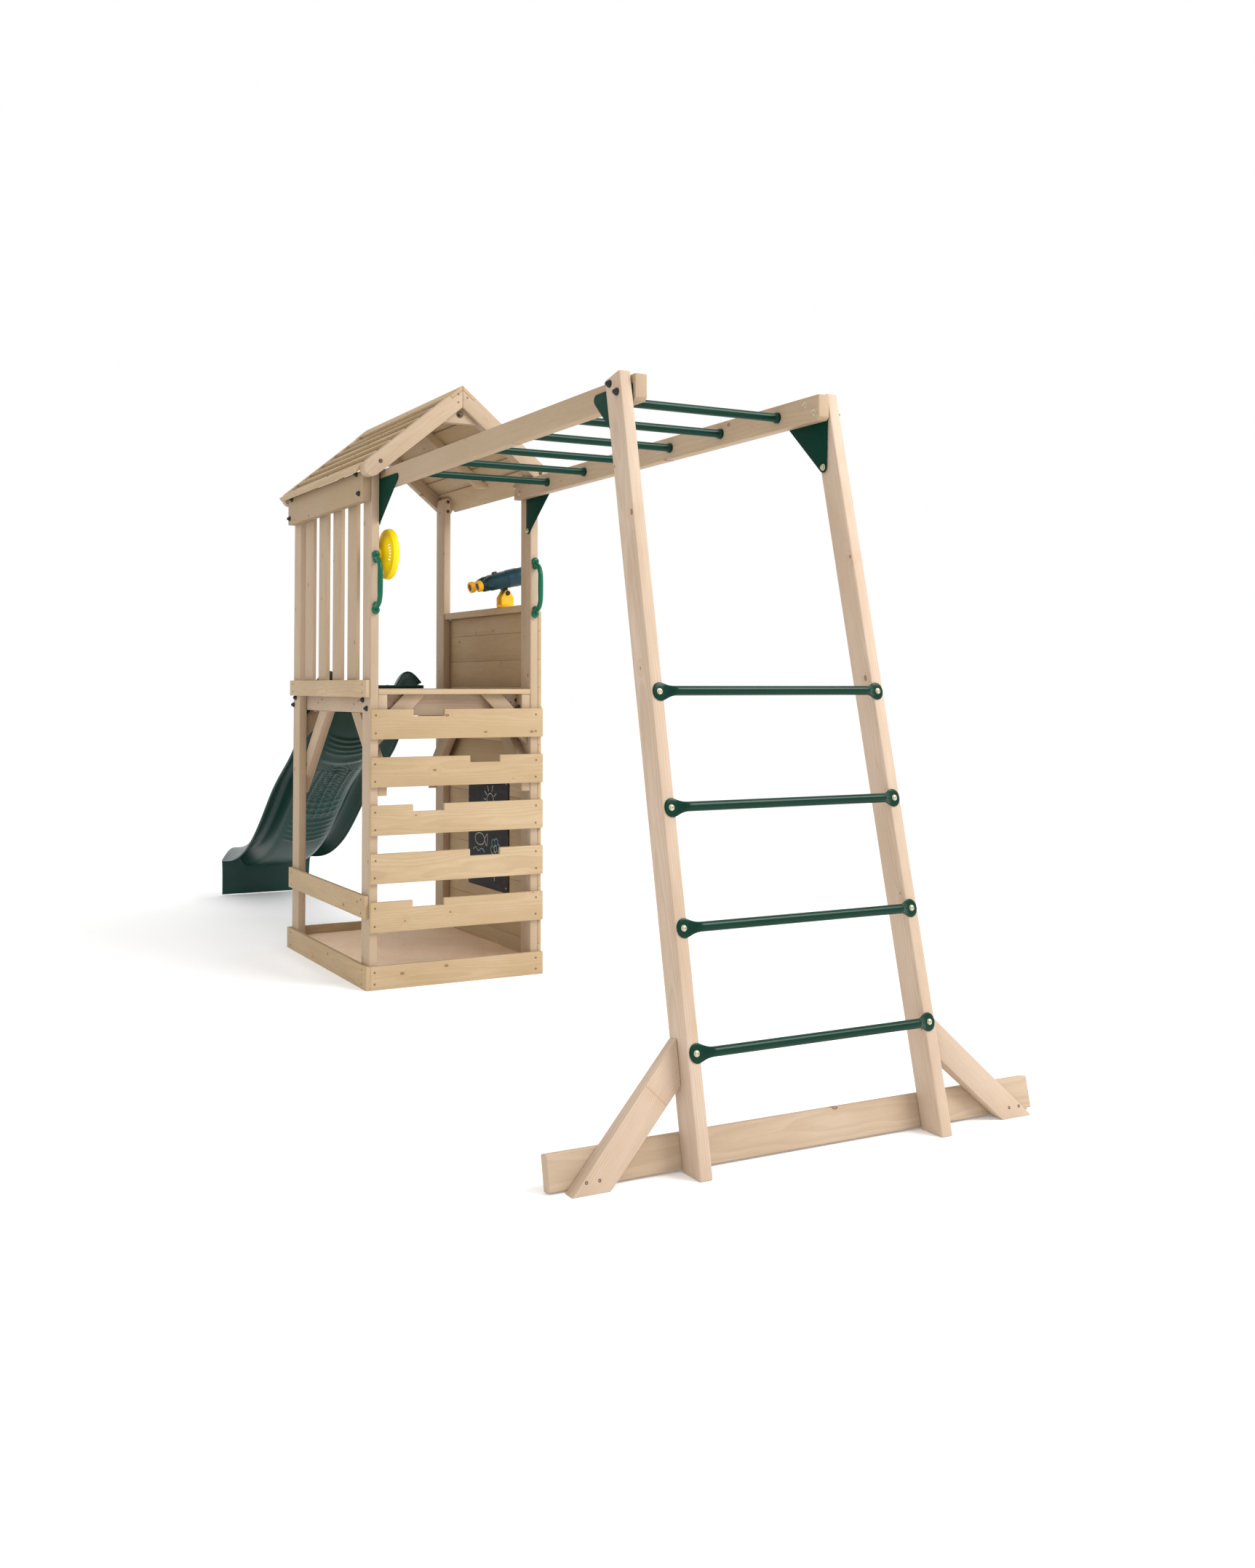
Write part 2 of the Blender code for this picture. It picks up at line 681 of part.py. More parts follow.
# ---- steering wheel (spins about its boss) ------------------------------------------
wheel_profile = [
    (0.000, 0.024), (0.012, 0.024), (0.020, 0.030), (0.026, 0.052), (0.032, 0.078),
    (0.040, 0.095), (0.048, 0.1015), (0.056, WHEEL_R), (0.064, 0.102), (WHEEL_DEPTH, 0.096),
    (0.064, 0.090), (0.054, 0.084), (0.046, 0.066), (0.042, 0.040), (0.046, 0.028),
    (0.050, 0.022), (0.052, 0.008),
]
wheel_base = (WHEEL_AT[0], -INNER + GAP, WHEEL_AT[1])
finish("steering_wheel", turned(wheel_profile, wheel_base, (0.0, 1.0, 0.0), 32), YELLOW, True, wheel_base)


# ---- binoculars on a swivelling mount -----------------------------------------------
mount_base = (SCOPE_X, SCOPE_Y, CAP_TOP + GAP)
foot_disc = turned([(0.0, 0.038), (0.012, 0.038), (0.016, 0.033)], mount_base,
                   (0.0, 0.0, 1.0), 24)
cheeks = []
for side in (-1.0, 1.0):
    lo, hi = sorted((SCOPE_X + side * 0.0128, SCOPE_X + side * 0.0290))
    shape = [(SCOPE_Y - 0.029, CAP_TOP + 0.010), (SCOPE_Y + 0.029, CAP_TOP + 0.010), (SCOPE_Y + 0.029, 1.604)]
    shape += arc(SCOPE_Y, SCOPE_PIN_Z, 0.015, 10.0, 170.0, 8) + [(SCOPE_Y - 0.029, 1.604)]
    cheeks.append(prism(shape, "x", lo, hi))
fused("binocular_mount", [foot_disc] + cheeks, YELLOW, False, mount_base)

aim = Vector((0.0, math.cos(math.radians(14.0)), math.sin(math.radians(14.0))))
pin = Vector((SCOPE_X, SCOPE_Y, SCOPE_PIN_Z))
rise = Vector((0.0, -aim.z, aim.y))
middle = pin + rise * 0.060 + aim * (-0.010)
barrels = []
barrel_profile = [
    (-0.134, 0.0240), (-0.118, 0.0250), (-0.114, 0.0200), (-0.088, 0.0200), (-0.074, 0.0300),
    (0.010, 0.0320), (0.050, 0.0375), (0.102, 0.0385), (0.108, 0.0350),
]
for side in (-1.0, 1.0):
    start = middle + Vector((side * 0.0400, 0.0, 0.0))
    barrels.append(turned(barrel_profile, start, aim, 20))


def tilted(points):
    return [(middle.y + a * aim.y - b * aim.z, middle.z + a * aim.z + b * aim.y) for a, b in points]


bridge = prism(tilted([(-0.050, -0.016), (0.060, -0.016), (0.060, 0.014), (-0.050, 0.014)]), "x",
               SCOPE_X - 0.020, SCOPE_X + 0.020)
lug_shape = tilted([(0.026, -0.010), (-0.006, -0.010)] + arc(0.010, -0.060, 0.0115, 180.0, 360.0, 8))
lug = prism(lug_shape, "x", SCOPE_X - 0.0125, SCOPE_X + 0.0125)
fused("binoculars", [barrels[0], barrels[1], bridge, lug], GREY_GREEN, False, tuple(pin))
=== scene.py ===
import math
import random

import bmesh
import bpy
from mathutils import Matrix, Vector


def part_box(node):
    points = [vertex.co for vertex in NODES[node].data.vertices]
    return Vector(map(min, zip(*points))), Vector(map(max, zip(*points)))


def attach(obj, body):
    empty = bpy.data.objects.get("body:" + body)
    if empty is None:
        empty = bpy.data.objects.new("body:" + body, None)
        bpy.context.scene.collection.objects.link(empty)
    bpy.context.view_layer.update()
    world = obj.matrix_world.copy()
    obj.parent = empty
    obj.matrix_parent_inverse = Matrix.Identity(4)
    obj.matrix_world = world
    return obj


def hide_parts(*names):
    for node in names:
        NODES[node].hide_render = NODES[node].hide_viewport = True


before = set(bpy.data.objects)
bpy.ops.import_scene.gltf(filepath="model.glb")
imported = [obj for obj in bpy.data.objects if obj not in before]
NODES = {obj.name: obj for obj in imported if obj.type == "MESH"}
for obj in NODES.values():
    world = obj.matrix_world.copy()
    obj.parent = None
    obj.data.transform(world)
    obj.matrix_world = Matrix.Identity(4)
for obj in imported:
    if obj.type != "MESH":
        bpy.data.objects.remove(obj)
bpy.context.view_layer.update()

COLLECTION = bpy.context.scene.collection
rng = random.Random(7)

# ---- sizes: read from the frame, or as the CAD has them ------------------------------
X, Y, Z = Vector((1, 0, 0)), Vector((0, 1, 0)), Vector((0, 0, 1))
POST_LOW, POST_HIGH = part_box("post_front_left")
FRONT_X = POST_HIGH.x                       # front faces of the front posts
LEFT_Y = POST_LOW.y                         # outer face of the left posts
RIGHT_Y = -LEFT_Y
POST_T = POST_HIGH.y - POST_LOW.y
POST_MID = RIGHT_Y - POST_T / 2.0           # middle of the right posts' thickness
INNER_Y = RIGHT_Y - POST_T
GAP = 0.0003                                # clearance between touching parts
WALL_T = 0.016                              # boards of the right wall
WALL_IN, WALL_OUT = RIGHT_Y + GAP, RIGHT_Y + GAP + WALL_T
WALL_PITCH, WALL_FIRST, WALL_TOP = 0.120, 0.004, 1.529
SIDE_BEAM_Z, CROSS_BEAM_Z = 1.100, 1.090    # undersides of the deck's beams
DECK_BOARDS = 12

PITCH = math.radians(39.3)                  # roof
TAN_P, COS_P, SIN_P = math.tan(PITCH), math.cos(PITCH), math.sin(PITCH)
RAFTER_DEPTH, RAFTER_BOLT_Z = 0.070, 2.112
RAFTER_MID = RAFTER_BOLT_Z + POST_MID * TAN_P
PEAK = RAFTER_MID + RAFTER_DEPTH / 2.0 / COS_P
SLAT_PITCH, SLAT_RECESS = 0.0795, 0.003

LEAN = math.radians(12.0)                   # ladder
UP_LADDER = Vector((-math.sin(LEAN), 0.0, math.cos(LEAN)))
OUT_LADDER = Vector((math.cos(LEAN), 0.0, math.sin(LEAN)))
LEG_FOOT_X, LEG_DEPTH, BASE_T = 2.4646, 0.082, 0.038
LEG_TOP_Y, LEG_TOP_Z, LEG_SPLAY = 0.378, 2.0922, math.radians(0.7)
RAIL_BOLTS = [(1.970, 2.061), (2.012, 2.031)]


def spot(x, y, z):
    """Point given from the front faces of the front posts, the centre line and the ground."""
    return Vector((FRONT_X + x, y, z))


# ---- node graphs ------------------------------------------------------------------
class Graph:
    """Small helper that adds and links shader nodes."""

    def __init__(self, name):
        self.mat = bpy.data.materials.new(name)
        self.mat.use_nodes = True
        self.tree = self.mat.node_tree
        self.shader = self.tree.nodes["Principled BSDF"]

    def put(self, value, socket):
        if isinstance(value, bpy.types.NodeSocket):
            self.tree.links.new(value, socket)
        else:
            socket.default_value = value

    def add(self, kind, inputs, **settings):
        """Adds a node, with its settings and its inputs by name or number."""
        node = self.tree.nodes.new("ShaderNode" + kind)
        for name, value in settings.items():
            setattr(node, name, value)
        for key, value in inputs.items():
            self.put(value, node.inputs[key])
        return node

    def math(self, op, a, b=0.0):
        return self.add("Math", {0: a, 1: b}, operation=op).outputs[0]

    def times(self, a, b):
        return self.math("MULTIPLY", a, b)

    def scaled(self, vector, factors):
        return self.add("VectorMath", {0: vector, 1: factors}, operation="MULTIPLY").outputs[0]

    def length(self, vector):
        return self.add("VectorMath", {0: vector}, operation="LENGTH").outputs["Value"]

    def attribute(self, name, output="Vector"):
        return self.add("Attribute", {}, attribute_name=name).outputs[output]

    def position(self):
        return self.add("TexCoord", {}).outputs["Object"]

    def split(self, vector):
        return self.add("SeparateXYZ", {0: vector}).outputs[:]

    def join(self, x, y, z):
        return self.add("CombineXYZ", {0: x, 1: y, 2: z}).outputs[0]

    def noise(self, vector, scale=1.0, detail=2.0, rough=0.5):
        inputs = {"Vector": vector, "Scale": scale, "Detail": detail, "Roughness": rough}
        return self.add("TexNoise", inputs).outputs["Fac"]

    def ramp(self, fac, low, high, out_low=0.0, out_high=1.0):
        inputs = {"Value": fac, "From Min": low, "From Max": high, "To Min": out_low, "To Max": out_high}
        return self.add("MapRange", inputs, interpolation_type="SMOOTHSTEP").outputs[0]

    def blend(self, fac, a, b):
        """Colour a where fac is 0, colour b where it is 1. The colour sockets are 6, 7 and 2."""
        return self.add("Mix", {0: fac, 6: a, 7: b}, data_type="RGBA").outputs[2]

    def bump(self, height, distance, strength):
        node = self.add("Bump", {"Distance": distance, "Strength": strength, "Height": height})
        self.put(node.outputs[0], self.shader.inputs["Normal"])

    def set(self, **values):
        for name, value in values.items():
            self.put(value, self.shader.inputs[name.replace("_", " ")])


def rgb(red, green, blue):
    """Colour given as 0-255 display values."""
    def linear(c):
        c = c / 255.0
        return c / 12.92 if c <= 0.04045 else ((c + 0.055) / 1.055) ** 2.4
    return (linear(red), linear(green), linear(blue), 1.0)


# ---- wood -------------------------------------------------------------------------
def wood_material(name, pale, dark, late, warm):
    """Softwood cut from a log: 'grain' holds a point's place along, across and through it,
    measured from the pith, and 'tint' holds a value per board."""
    g = Graph(name)
    where = g.attribute("grain")
    u, v, w = g.split(where)

    # knots: sparse cells in the plane of the board
    cell = g.add("TexVoronoi", {"Vector": g.join(g.times(u, 5.2), g.times(v, 8.5), 0.0), "Scale": 1.0},
                 voronoi_dimensions="2D")
    away = cell.outputs["Distance"]
    chance = g.split(cell.outputs["Color"])[0]
    radius = g.ramp(chance, 0.52, 1.0, 0.0, 0.050)
    past = g.math("SUBTRACT", away, radius)
    knot = g.times(g.ramp(past, -0.012, 0.006, 1.0, 0.0), g.math("GREATER_THAN", chance, 0.55))
    halo = g.times(g.ramp(past, -0.01, 0.16, 1.0, 0.0), g.math("GREATER_THAN", chance, 0.56))

    # growth rings round the pith, pushed aside by knots
    slow = g.noise(g.scaled(where, (1.7, 7.0, 7.0)))
    quick = g.noise(g.scaled(where, (9.0, 45.0, 45.0)), 1.0, 3.0)
    reach = g.length(g.join(0.0, v, w))
    for push, amount in ((slow, 0.034), (quick, 0.0022), (halo, 0.009)):
        reach = g.math("ADD", reach, g.times(push, amount))
    ring_width = 0.0062
    phase = g.math("FRACT", g.math("DIVIDE", reach, ring_width))
    ring = g.times(g.ramp(phase, 0.10, 0.86), g.ramp(phase, 0.88, 1.0, 1.0, 0.0))

    fibre = g.noise(g.scaled(where, (14.0, 520.0, 520.0)), 1.0, 2.0, 0.6)
    blotch = g.noise(g.scaled(where, (3.1, 11.0, 11.0)), 1.0, 3.0, 0.55)
    smear = g.noise(g.scaled(where, (22.0, 60.0, 60.0)))
    base = g.blend(g.ramp(blotch, 0.30, 0.72), pale, dark)
    # the per-board tint towards the warm colour is real timber tone, and on some pieces partly painted shade
    # (see plain_timber)
    for amount, color in (
            (g.times(g.attribute("tint", "Fac"), 0.80), warm),
            (g.times(ring, 0.24), late),
            (g.ramp(fibre, 0.35, 0.75, 0.0, 0.16), late),
            (g.ramp(smear, 0.60, 0.80, 0.0, 0.10), rgb(150, 128, 104)),
            (g.ramp(g.noise(where, 2.3), 0.52, 0.75, 0.0, 0.16), rgb(172, 160, 142)),
            (g.times(halo, 0.16), rgb(176, 138, 98))):
        base = g.blend(amount, base, color)
    inner = g.ramp(g.math("DIVIDE", away, g.math("MAXIMUM", radius, 0.001)), 0.2, 0.95)
    core = g.blend(inner, rgb(150, 110, 76), rgb(78, 50, 34))
    shine = g.ramp(fibre, 0.2, 0.8, 0.62, 0.80)
    g.set(Base_Color=g.blend(g.times(knot, 0.82), base, core),
          Roughness=g.math("SUBTRACT", shine, g.times(ring, 0.08)), Specular_IOR_Level=0.32)
    height = g.math("ADD", g.times(ring, 0.35), g.times(fibre, 0.5))
    g.bump(g.math("SUBTRACT", height, g.times(knot, 0.35)), 0.0005, 0.55)
    return g.mat


TIMBER = wood_material("timber_grain", rgb(203, 181, 161), rgb(190, 167, 144), rgb(158, 130, 102),
                       rgb(162, 140, 108))
BOARD = wood_material("board_grain", rgb(200, 178, 147), rgb(184, 160, 126), rgb(156, 128, 93),
                      rgb(172, 146, 108))


# ---- other materials --------------------------------------------------------------
def moulded(name, color, rough, fleck, grain, bump, gloss):
    """Moulded or coated surface: faint mottling, fine texture, scuffs that dull it."""
    g = Graph(name)
    where = g.position()
    soft = g.noise(where, 6.0, 3.0)
    scuff = g.ramp(g.noise(g.scaled(where, (40.0, 160.0, 60.0)), 1.0, 3.0), 0.62, 0.82)
    lighter = tuple(min(1.0, c * (1.0 + 3.0 * fleck)) for c in color[:3]) + (1.0,)
    worn = tuple(min(1.0, c * 1.5 + 0.002) for c in color[:3]) + (1.0,)
    base = g.blend(g.ramp(soft, 0.3, 0.7), color, lighter)
    dull = g.math("ADD", g.ramp(soft, 0.2, 0.8, rough, rough + 0.08), g.times(scuff, 0.15))
    g.set(Base_Color=g.blend(g.times(scuff, fleck), base, worn), Roughness=dull, Specular_IOR_Level=gloss)
    g.bump(g.noise(where, grain), bump, 0.6)
    return g.mat


GREEN_STEEL = moulded("powder_coat_green", rgb(0, 46, 33), 0.20, 0.05, 1400.0, 0.00005, 0.16)
PLATE_STEEL = moulded("powder_coat_plate", rgb(0, 46, 34), 0.45, 0.06, 1400.0, 0.0001, 0.06)
HANDLE_PLASTIC = moulded("moulded_handle", rgb(0, 88, 62), 0.22, 0.06, 700.0, 0.00005, 0.30)
SLIDE_PLASTIC = moulded("moulded_slide", rgb(6, 50, 43), 0.28, 0.10, 420.0, 0.0001, 0.32)
YELLOW = moulded("moulded_yellow", rgb(246, 212, 4), 0.34, 0.03, 500.0, 0.0001, 0.30)
AMBER = moulded("moulded_amber", rgb(246, 178, 6), 0.38, 0.03, 500.0, 0.0001, 0.30)
SCOPE = moulded("moulded_slate", rgb(14, 50, 58), 0.32, 0.08, 600.0, 0.0001, 0.34)
# BLACK is also the painted shade in the corner plates' empty holes
BLACK = moulded("black_plastic_and_hole_shade", rgb(20, 20, 22), 0.38, 0.15, 900.0, 0.0001, 0.40)
LENS = moulded("dark_lens", rgb(8, 8, 12), 0.30, 0.05, 300.0, 0.00002, 0.20)


def metal(name, color, rough):
    """Plated steel with duller spots."""
    g = Graph(name)
    where = g.position()
    fine = g.noise(where, 900.0)
    spots = g.ramp(g.noise(where, 260.0, 3.0), 0.5, 0.75)
    dull = tuple(c * 0.62 for c in color[:3]) + (1.0,)
    g.set(Base_Color=g.blend(spots, color, dull), Roughness=g.ramp(fine, 0.2, 0.8, rough, rough + 0.2),
          Metallic=1.0)
    g.bump(fine, 0.00005, 0.4)
    return g.mat


ZINC = metal("zinc_plate", rgb(206, 196, 172), 0.30)
DARK_METAL = metal("dark_plate", rgb(92, 78, 64), 0.42)


def sand_material():
    g = Graph("play_sand")
    where = g.position()
    grain = g.noise(where, 1500.0, 2.0, 0.7)
    soft = g.noise(where, 9.0, 4.0)
    sweep = g.noise(g.scaled(where, (18.0, 55.0, 20.0)), 1.0, 4.0)
    base = g.blend(g.ramp(soft, 0.3, 0.7), rgb(255, 230, 200), rgb(252, 220, 188))
    base = g.blend(g.ramp(sweep, 0.58, 0.74, 0.0, 0.22), base, rgb(226, 172, 136))
    base = g.blend(g.ramp(grain, 0.35, 0.75, 0.0, 0.16), base, rgb(214, 164, 130))
    g.set(Base_Color=base, Roughness=g.ramp(grain, 0.2, 0.8, 0.86, 0.98))
    g.bump(g.math("ADD", grain, g.times(sweep, 2.0)), 0.0009, 0.7)
    return g.mat


def chalk_material():
    """Blackboard with wiped chalk dust."""
    g = Graph("chalk_surface")
    where = g.position()
    dust = g.noise(g.scaled(where, (14.0, 14.0, 40.0)), 1.0, 4.0, 0.6)
    fine = g.noise(where, 900.0)
    base = g.blend(g.ramp(dust, 0.45, 0.80, 0.0, 0.30), rgb(24, 25, 27), rgb(78, 80, 80))
    g.set(Base_Color=base, Roughness=g.ramp(fine, 0.2, 0.8, 0.62, 0.80))
    g.bump(fine, 0.0001, 0.5)
    return g.mat


def stroke_material(name, color):
    """Crumbly chalk."""
    g = Graph(name)
    crumb = g.noise(g.position(), 900.0, 3.0, 0.7)
    g.set(Base_Color=g.blend(g.ramp(crumb, 0.40, 0.58), rgb(70, 70, 70), color), Roughness=0.95)
    g.bump(crumb, 0.0003, 0.8)
    return g.mat


SAND = sand_material()
SLATE = chalk_material()
CHALK_WHITE = stroke_material("chalk_white", rgb(232, 232, 226))
CHALK_BLUE = stroke_material("chalk_blue", rgb(160, 205, 222))


# ---- mesh helpers -----------------------------------------------------------------
def new_piece(name, bm, mat, node=None, body="frame", smooth=True, sharp=35.0):
    """Turns a bmesh into a piece that rides on a body and stands for a CAD node."""
    bmesh.ops.recalc_face_normals(bm, faces=bm.faces)
    for edge in bm.edges:
        if len(edge.link_faces) == 2 and edge.calc_face_angle(0.0) > math.radians(sharp):
            edge.smooth = False
    mesh = bpy.data.meshes.new(name)
    bm.to_mesh(mesh)
    bm.free()
    mesh.polygons.foreach_set("use_smooth", [smooth] * len(mesh.polygons))
    mesh.materials.append(mat)
    obj = bpy.data.objects.new(name, mesh)
    COLLECTION.objects.link(obj)
    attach(obj, body)
    if node:
        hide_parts(node)
    return obj


def cad_copy(node):
    """The node's own shape, with its split corners joined."""
    bm = bmesh.new()
    bm.from_mesh(NODES[node].data)
    bmesh.ops.remove_doubles(bm, verts=bm.verts, dist=0.00002)
    return bm


def prism(outline, axis, lo, hi):
    """Solid between lo and hi along an axis; the outline's points are in the other two, in order."""
    bm = bmesh.new()

    def at(point, t):
        a, b = point
        return {"x": (t, a, b), "y": (a, t, b), "z": (a, b, t)}[axis]

    low = [bm.verts.new(at(p, lo)) for p in outline]
    high = [bm.verts.new(at(p, hi)) for p in outline]
    bm.faces.new(low)
    bm.faces.new(list(reversed(high)))
    for i in range(len(outline)):
        j = (i + 1) % len(outline)
        bm.faces.new((low[i], low[j], high[j], high[i]))
    bmesh.ops.recalc_face_normals(bm, faces=bm.faces)
    return bm


def rect(a0, a1, b0, b1):
    return [(a0, b0), (a1, b0), (a1, b1), (a0, b1)]


def box(lo, hi):
    return prism(rect(lo[1], hi[1], lo[2], hi[2]), "x", lo[0], hi[0])


def arc(ca, cb, radius, start, end, steps):
    """Points on a circle round (ca, cb), from one angle to another in degrees."""
    return [(ca + radius * math.cos(math.radians(start + (end - start) * i / steps)),
             cb + radius * math.sin(math.radians(start + (end - start) * i / steps)))
            for i in range(steps + 1)]


def eased(bm, width, segments=2, angle=30.0):
    """Rounds over the edges of a sawn piece."""
    bmesh.ops.dissolve_limit(bm, angle_limit=math.radians(1.0), verts=bm.verts, edges=bm.edges)
    edges = [e for e in bm.edges
             if len(e.link_faces) == 2 and e.calc_face_angle(0.0) > math.radians(angle)]
    bmesh.ops.bevel(bm, geom=edges, offset=width, segments=segments, profile=0.5, affect="EDGES",
                    clamp_overlap=True)
    return bm


def loft(rings):
    """Closed skin over rings of points."""
    bm = bmesh.new()
    rows = [[bm.verts.new(p) for p in ring] for ring in rings]
    count = len(rows[0])
    for one, two in zip(rows[:-1], rows[1:]):
        for i in range(count):
            j = (i + 1) % count
            bm.faces.new((one[i], one[j], two[j], two[i]))
    bm.faces.new(list(reversed(rows[0])))
    bm.faces.new(rows[-1])
    return bm


def turned(profile, base, axis, segments=32, bm=None):
    """Solid of revolution from (along, radius) pairs."""
    bm = bm or bmesh.new()
    base = Vector(base)
    axis = Vector(axis).normalized()
    side = axis.orthogonal().normalized()
    other = axis.cross(side)
    rows = []
    for along, radius in profile:
        rows.append([bm.verts.new(base + axis * along + radius * (side * math.cos(t) + other * math.sin(t)))
                     for t in (2.0 * math.pi * k / segments for k in range(segments))])
    for one, two in zip(rows[:-1], rows[1:]):
        for i in range(segments):
            j = (i + 1) % segments
            bm.faces.new((one[i], one[j], two[j], two[i]))
    bm.faces.new(list(reversed(rows[0])))
    bm.faces.new(rows[-1])
    return bm


def grain(obj, along, across=None, tone=(0.3, 0.9)):
    """Stores each point's place in the log it was sawn from."""
    along = Vector(along).normalized()
    across = Vector(across) if across else along.orthogonal()
    across = (across - along * across.dot(along)).normalized()
    through = along.cross(across)
    points = [v.co for v in obj.data.vertices]
    middle = sum(points, Vector()) / len(points)
    start = Vector((rng.uniform(0.0, 40.0), rng.uniform(-0.05, 0.05), rng.uniform(0.045, 0.11)))
    values = []
    for p in points:
        d = p - middle
        values += [d.dot(along) + start.x, d.dot(across) + start.y, d.dot(through) + start.z]
    data = obj.data.attributes.new("grain", "FLOAT_VECTOR", "POINT")
    data.data.foreach_set("vector", values)
    shade = obj.data.attributes.new("tint", "FLOAT", "POINT")
    shade.data.foreach_set("value", [rng.uniform(*tone)] * len(points))
    return obj


def sawn(node, along, across, mat, ease=0.0015, segments=2, tone=(0.3, 0.9)):
    """A timber copy of a CAD node with eased edges and grain along it."""
    piece = new_piece("wood_" + node, eased(cad_copy(node), ease, segments), mat, node)
    return grain(piece, along, across, tone)


def board(name, node, outline, axis, span, mat, along, across=None, ease=0.002, segments=2):
    """A board cut to an outline, with eased edges and grain along it."""
    piece = new_piece(name, eased(prism(outline, axis, *span), ease, segments), mat, node)
    return grain(piece, along, across)


def mirror(outline):
    """The outline on the other side of the centre line."""
    return [(-a, b) for a, b in reversed(outline)]


# ---- timber that keeps its CAD shape ----------------------------------------------
def plain_timber():
    """Sawn pieces; the last pair of numbers is how warm their tint may be, and on some pieces the tint is
    partly painted shade.
    """
    for node in ("post_front_left", "post_front_right", "post_back_left", "post_back_right"):
        sawn(node, Z, X, TIMBER, 0.0035, 3, (0.55, 0.70))
    # partly painted shade: the higher tints of the rails and the left top beam darken them towards the shade
    # on their left faces
    for node, tone in (("rail_left", (0.90, 0.95)), ("rail_right", (0.75, 0.85)),
                       ("top_beam_left", (1.15, 1.20))):
        sawn(node, X, Z, TIMBER, 0.0035, 3, tone)
    for node in ("leg_left", "leg_right"):
        sawn(node, UP_LADDER, OUT_LADDER, TIMBER, 0.0045, 3, (0.0, 0.10))
    # partly painted shade: the base plank's tint darkens it where the key light leaves it too bright
    sawn("base_plank", Y, UP_LADDER, TIMBER, 0.004, 3, (0.45, 0.55))
    for side, node in ((-1.0, "base_brace_left"), (1.0, "base_brace_right")):
        sawn(node, UP_LADDER - Y * side, OUT_LADDER, TIMBER, 0.003, 2, (0.0, 0.15))
    for i in range(1, 5):
        sawn(f"wall_slat_{i}", Z, X, TIMBER, 0.0015, 2, (0.60, 0.85))
    for node in ("sandpit_board_left", "low_board_left", "deck_board_left"):
        sawn(node, X, Z, BOARD)
    for node in ("sandpit_board_front", "sandpit_board_back"):
        sawn(node, Y, Z, BOARD)
    for i in range(1, 6):
        sawn(f"climb_plank_{i}", Y, Z, BOARD)


plain_timber()


# ---- deck: floor boards, beams and braces -----------------------------------------
def deck():
    low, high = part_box("deck_floor")
    pitch = (high.x - low.x) / DECK_BOARDS
    for i in range(DECK_BOARDS):
        x0 = low.x + pitch * i
        x1 = x0 + pitch - (0.003 if i < DECK_BOARDS - 1 else 0.0)
        board(f"deck_board_{i + 1}", "deck_floor", rect(low.y, high.y, low.z, high.z), "x", (x0, x1), BOARD,
              Y, X, 0.0015)


def beam_and_braces(node, axis, beam, braces):
    """Beam along a CAD frame plus its two diagonal braces: each is an outline, a span and a direction."""
    for label, (outline, span, way) in zip(("beam", "brace_1", "brace_2"), (beam, *braces)):
        board(f"{node}_{label}", node, outline, axis, span, TIMBER, way)


def deck_frames():
    """A beam with two diagonal braces under each side of the deck."""
    brace_w = 0.076 * math.sqrt(2.0)
    front_reach, back_reach = 0.332, 0.387
    under = SIDE_BEAM_Z - 0.0005
    for node in ("deck_frame_left", "deck_frame_right"):
        low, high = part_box(node)
        front = [(high.x - front_reach, under), (high.x - front_reach + brace_w, under),
                 (high.x, SIDE_BEAM_Z - front_reach + brace_w), (high.x, SIDE_BEAM_Z - front_reach)]
        back = [(low.x + back_reach, under), (low.x, SIDE_BEAM_Z - back_reach),
                (low.x, SIDE_BEAM_Z - back_reach + brace_w), (low.x + back_reach - brace_w, under)]
        span = (low.y, high.y)
        beam_and_braces(node, "y", (rect(low.x, high.x, SIDE_BEAM_Z, high.z), span, X),
                        [(front, span, X - Z), (back, span, X + Z)])
    beam_t, brace_t = 0.038, 0.028
    near, far = 0.121, 0.216                # where a brace's two edges meet the post and the deck
    beam_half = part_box("deck_frame_right")[0].y - GAP
    for node in ("deck_frame_front", "deck_frame_back"):
        low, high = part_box(node)
        if node == "deck_frame_front":
            beam_span = (low.x, low.x + beam_t)
            brace_span = (low.x + beam_t, low.x + beam_t + brace_t)
        else:
            beam_span = (high.x - beam_t, high.x)
            brace_span = (high.x - beam_t - brace_t, high.x - beam_t)
        foot, top = high.y, high.z
        slant = [(near - foot, top), (-foot, top - near), (-foot, top - far), (far - foot, top)]
        beam_and_braces(node, "x", (rect(-beam_half, beam_half, CROSS_BEAM_Z, top), beam_span, Y),
                        [(slant, brace_span, Y + Z), (mirror(slant), brace_span, Y - Z)])


deck()
deck_frames()


# ---- right wall: boards and cap rail ---------------------------------------------------
def right_wall():
    node = "cladding_right"
    low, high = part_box(node)
    edges = [low.z] + [WALL_FIRST + WALL_PITCH * k for k in range(1, 13)] + [WALL_TOP]
    for k, (z0, z1) in enumerate(zip(edges[:-1], edges[1:])):
        board(f"wall_board_{k + 1}", node, rect(WALL_IN, WALL_OUT, z0 + 0.0001, z1 - 0.0001), "x",
              (low.x, high.x), BOARD, X, Z, 0.0022)
    inset, overhang = 0.0953, 0.030
    board("wall_cap_rail", node, rect(RIGHT_Y - overhang, high.y, WALL_TOP + 0.0005, high.z), "x",
          (low.x + inset, high.x - inset), BOARD, X, Y, 0.003, 3)


right_wall()


# ---- roof: rafters, gussets, slats, battens --------------------------------------------
def on_slope(s, below):
    """Point of the right slope, s down it from the peak and some way below its surface."""
    return (s * COS_P - below * SIN_P, PEAK - s * SIN_P - below * COS_P)


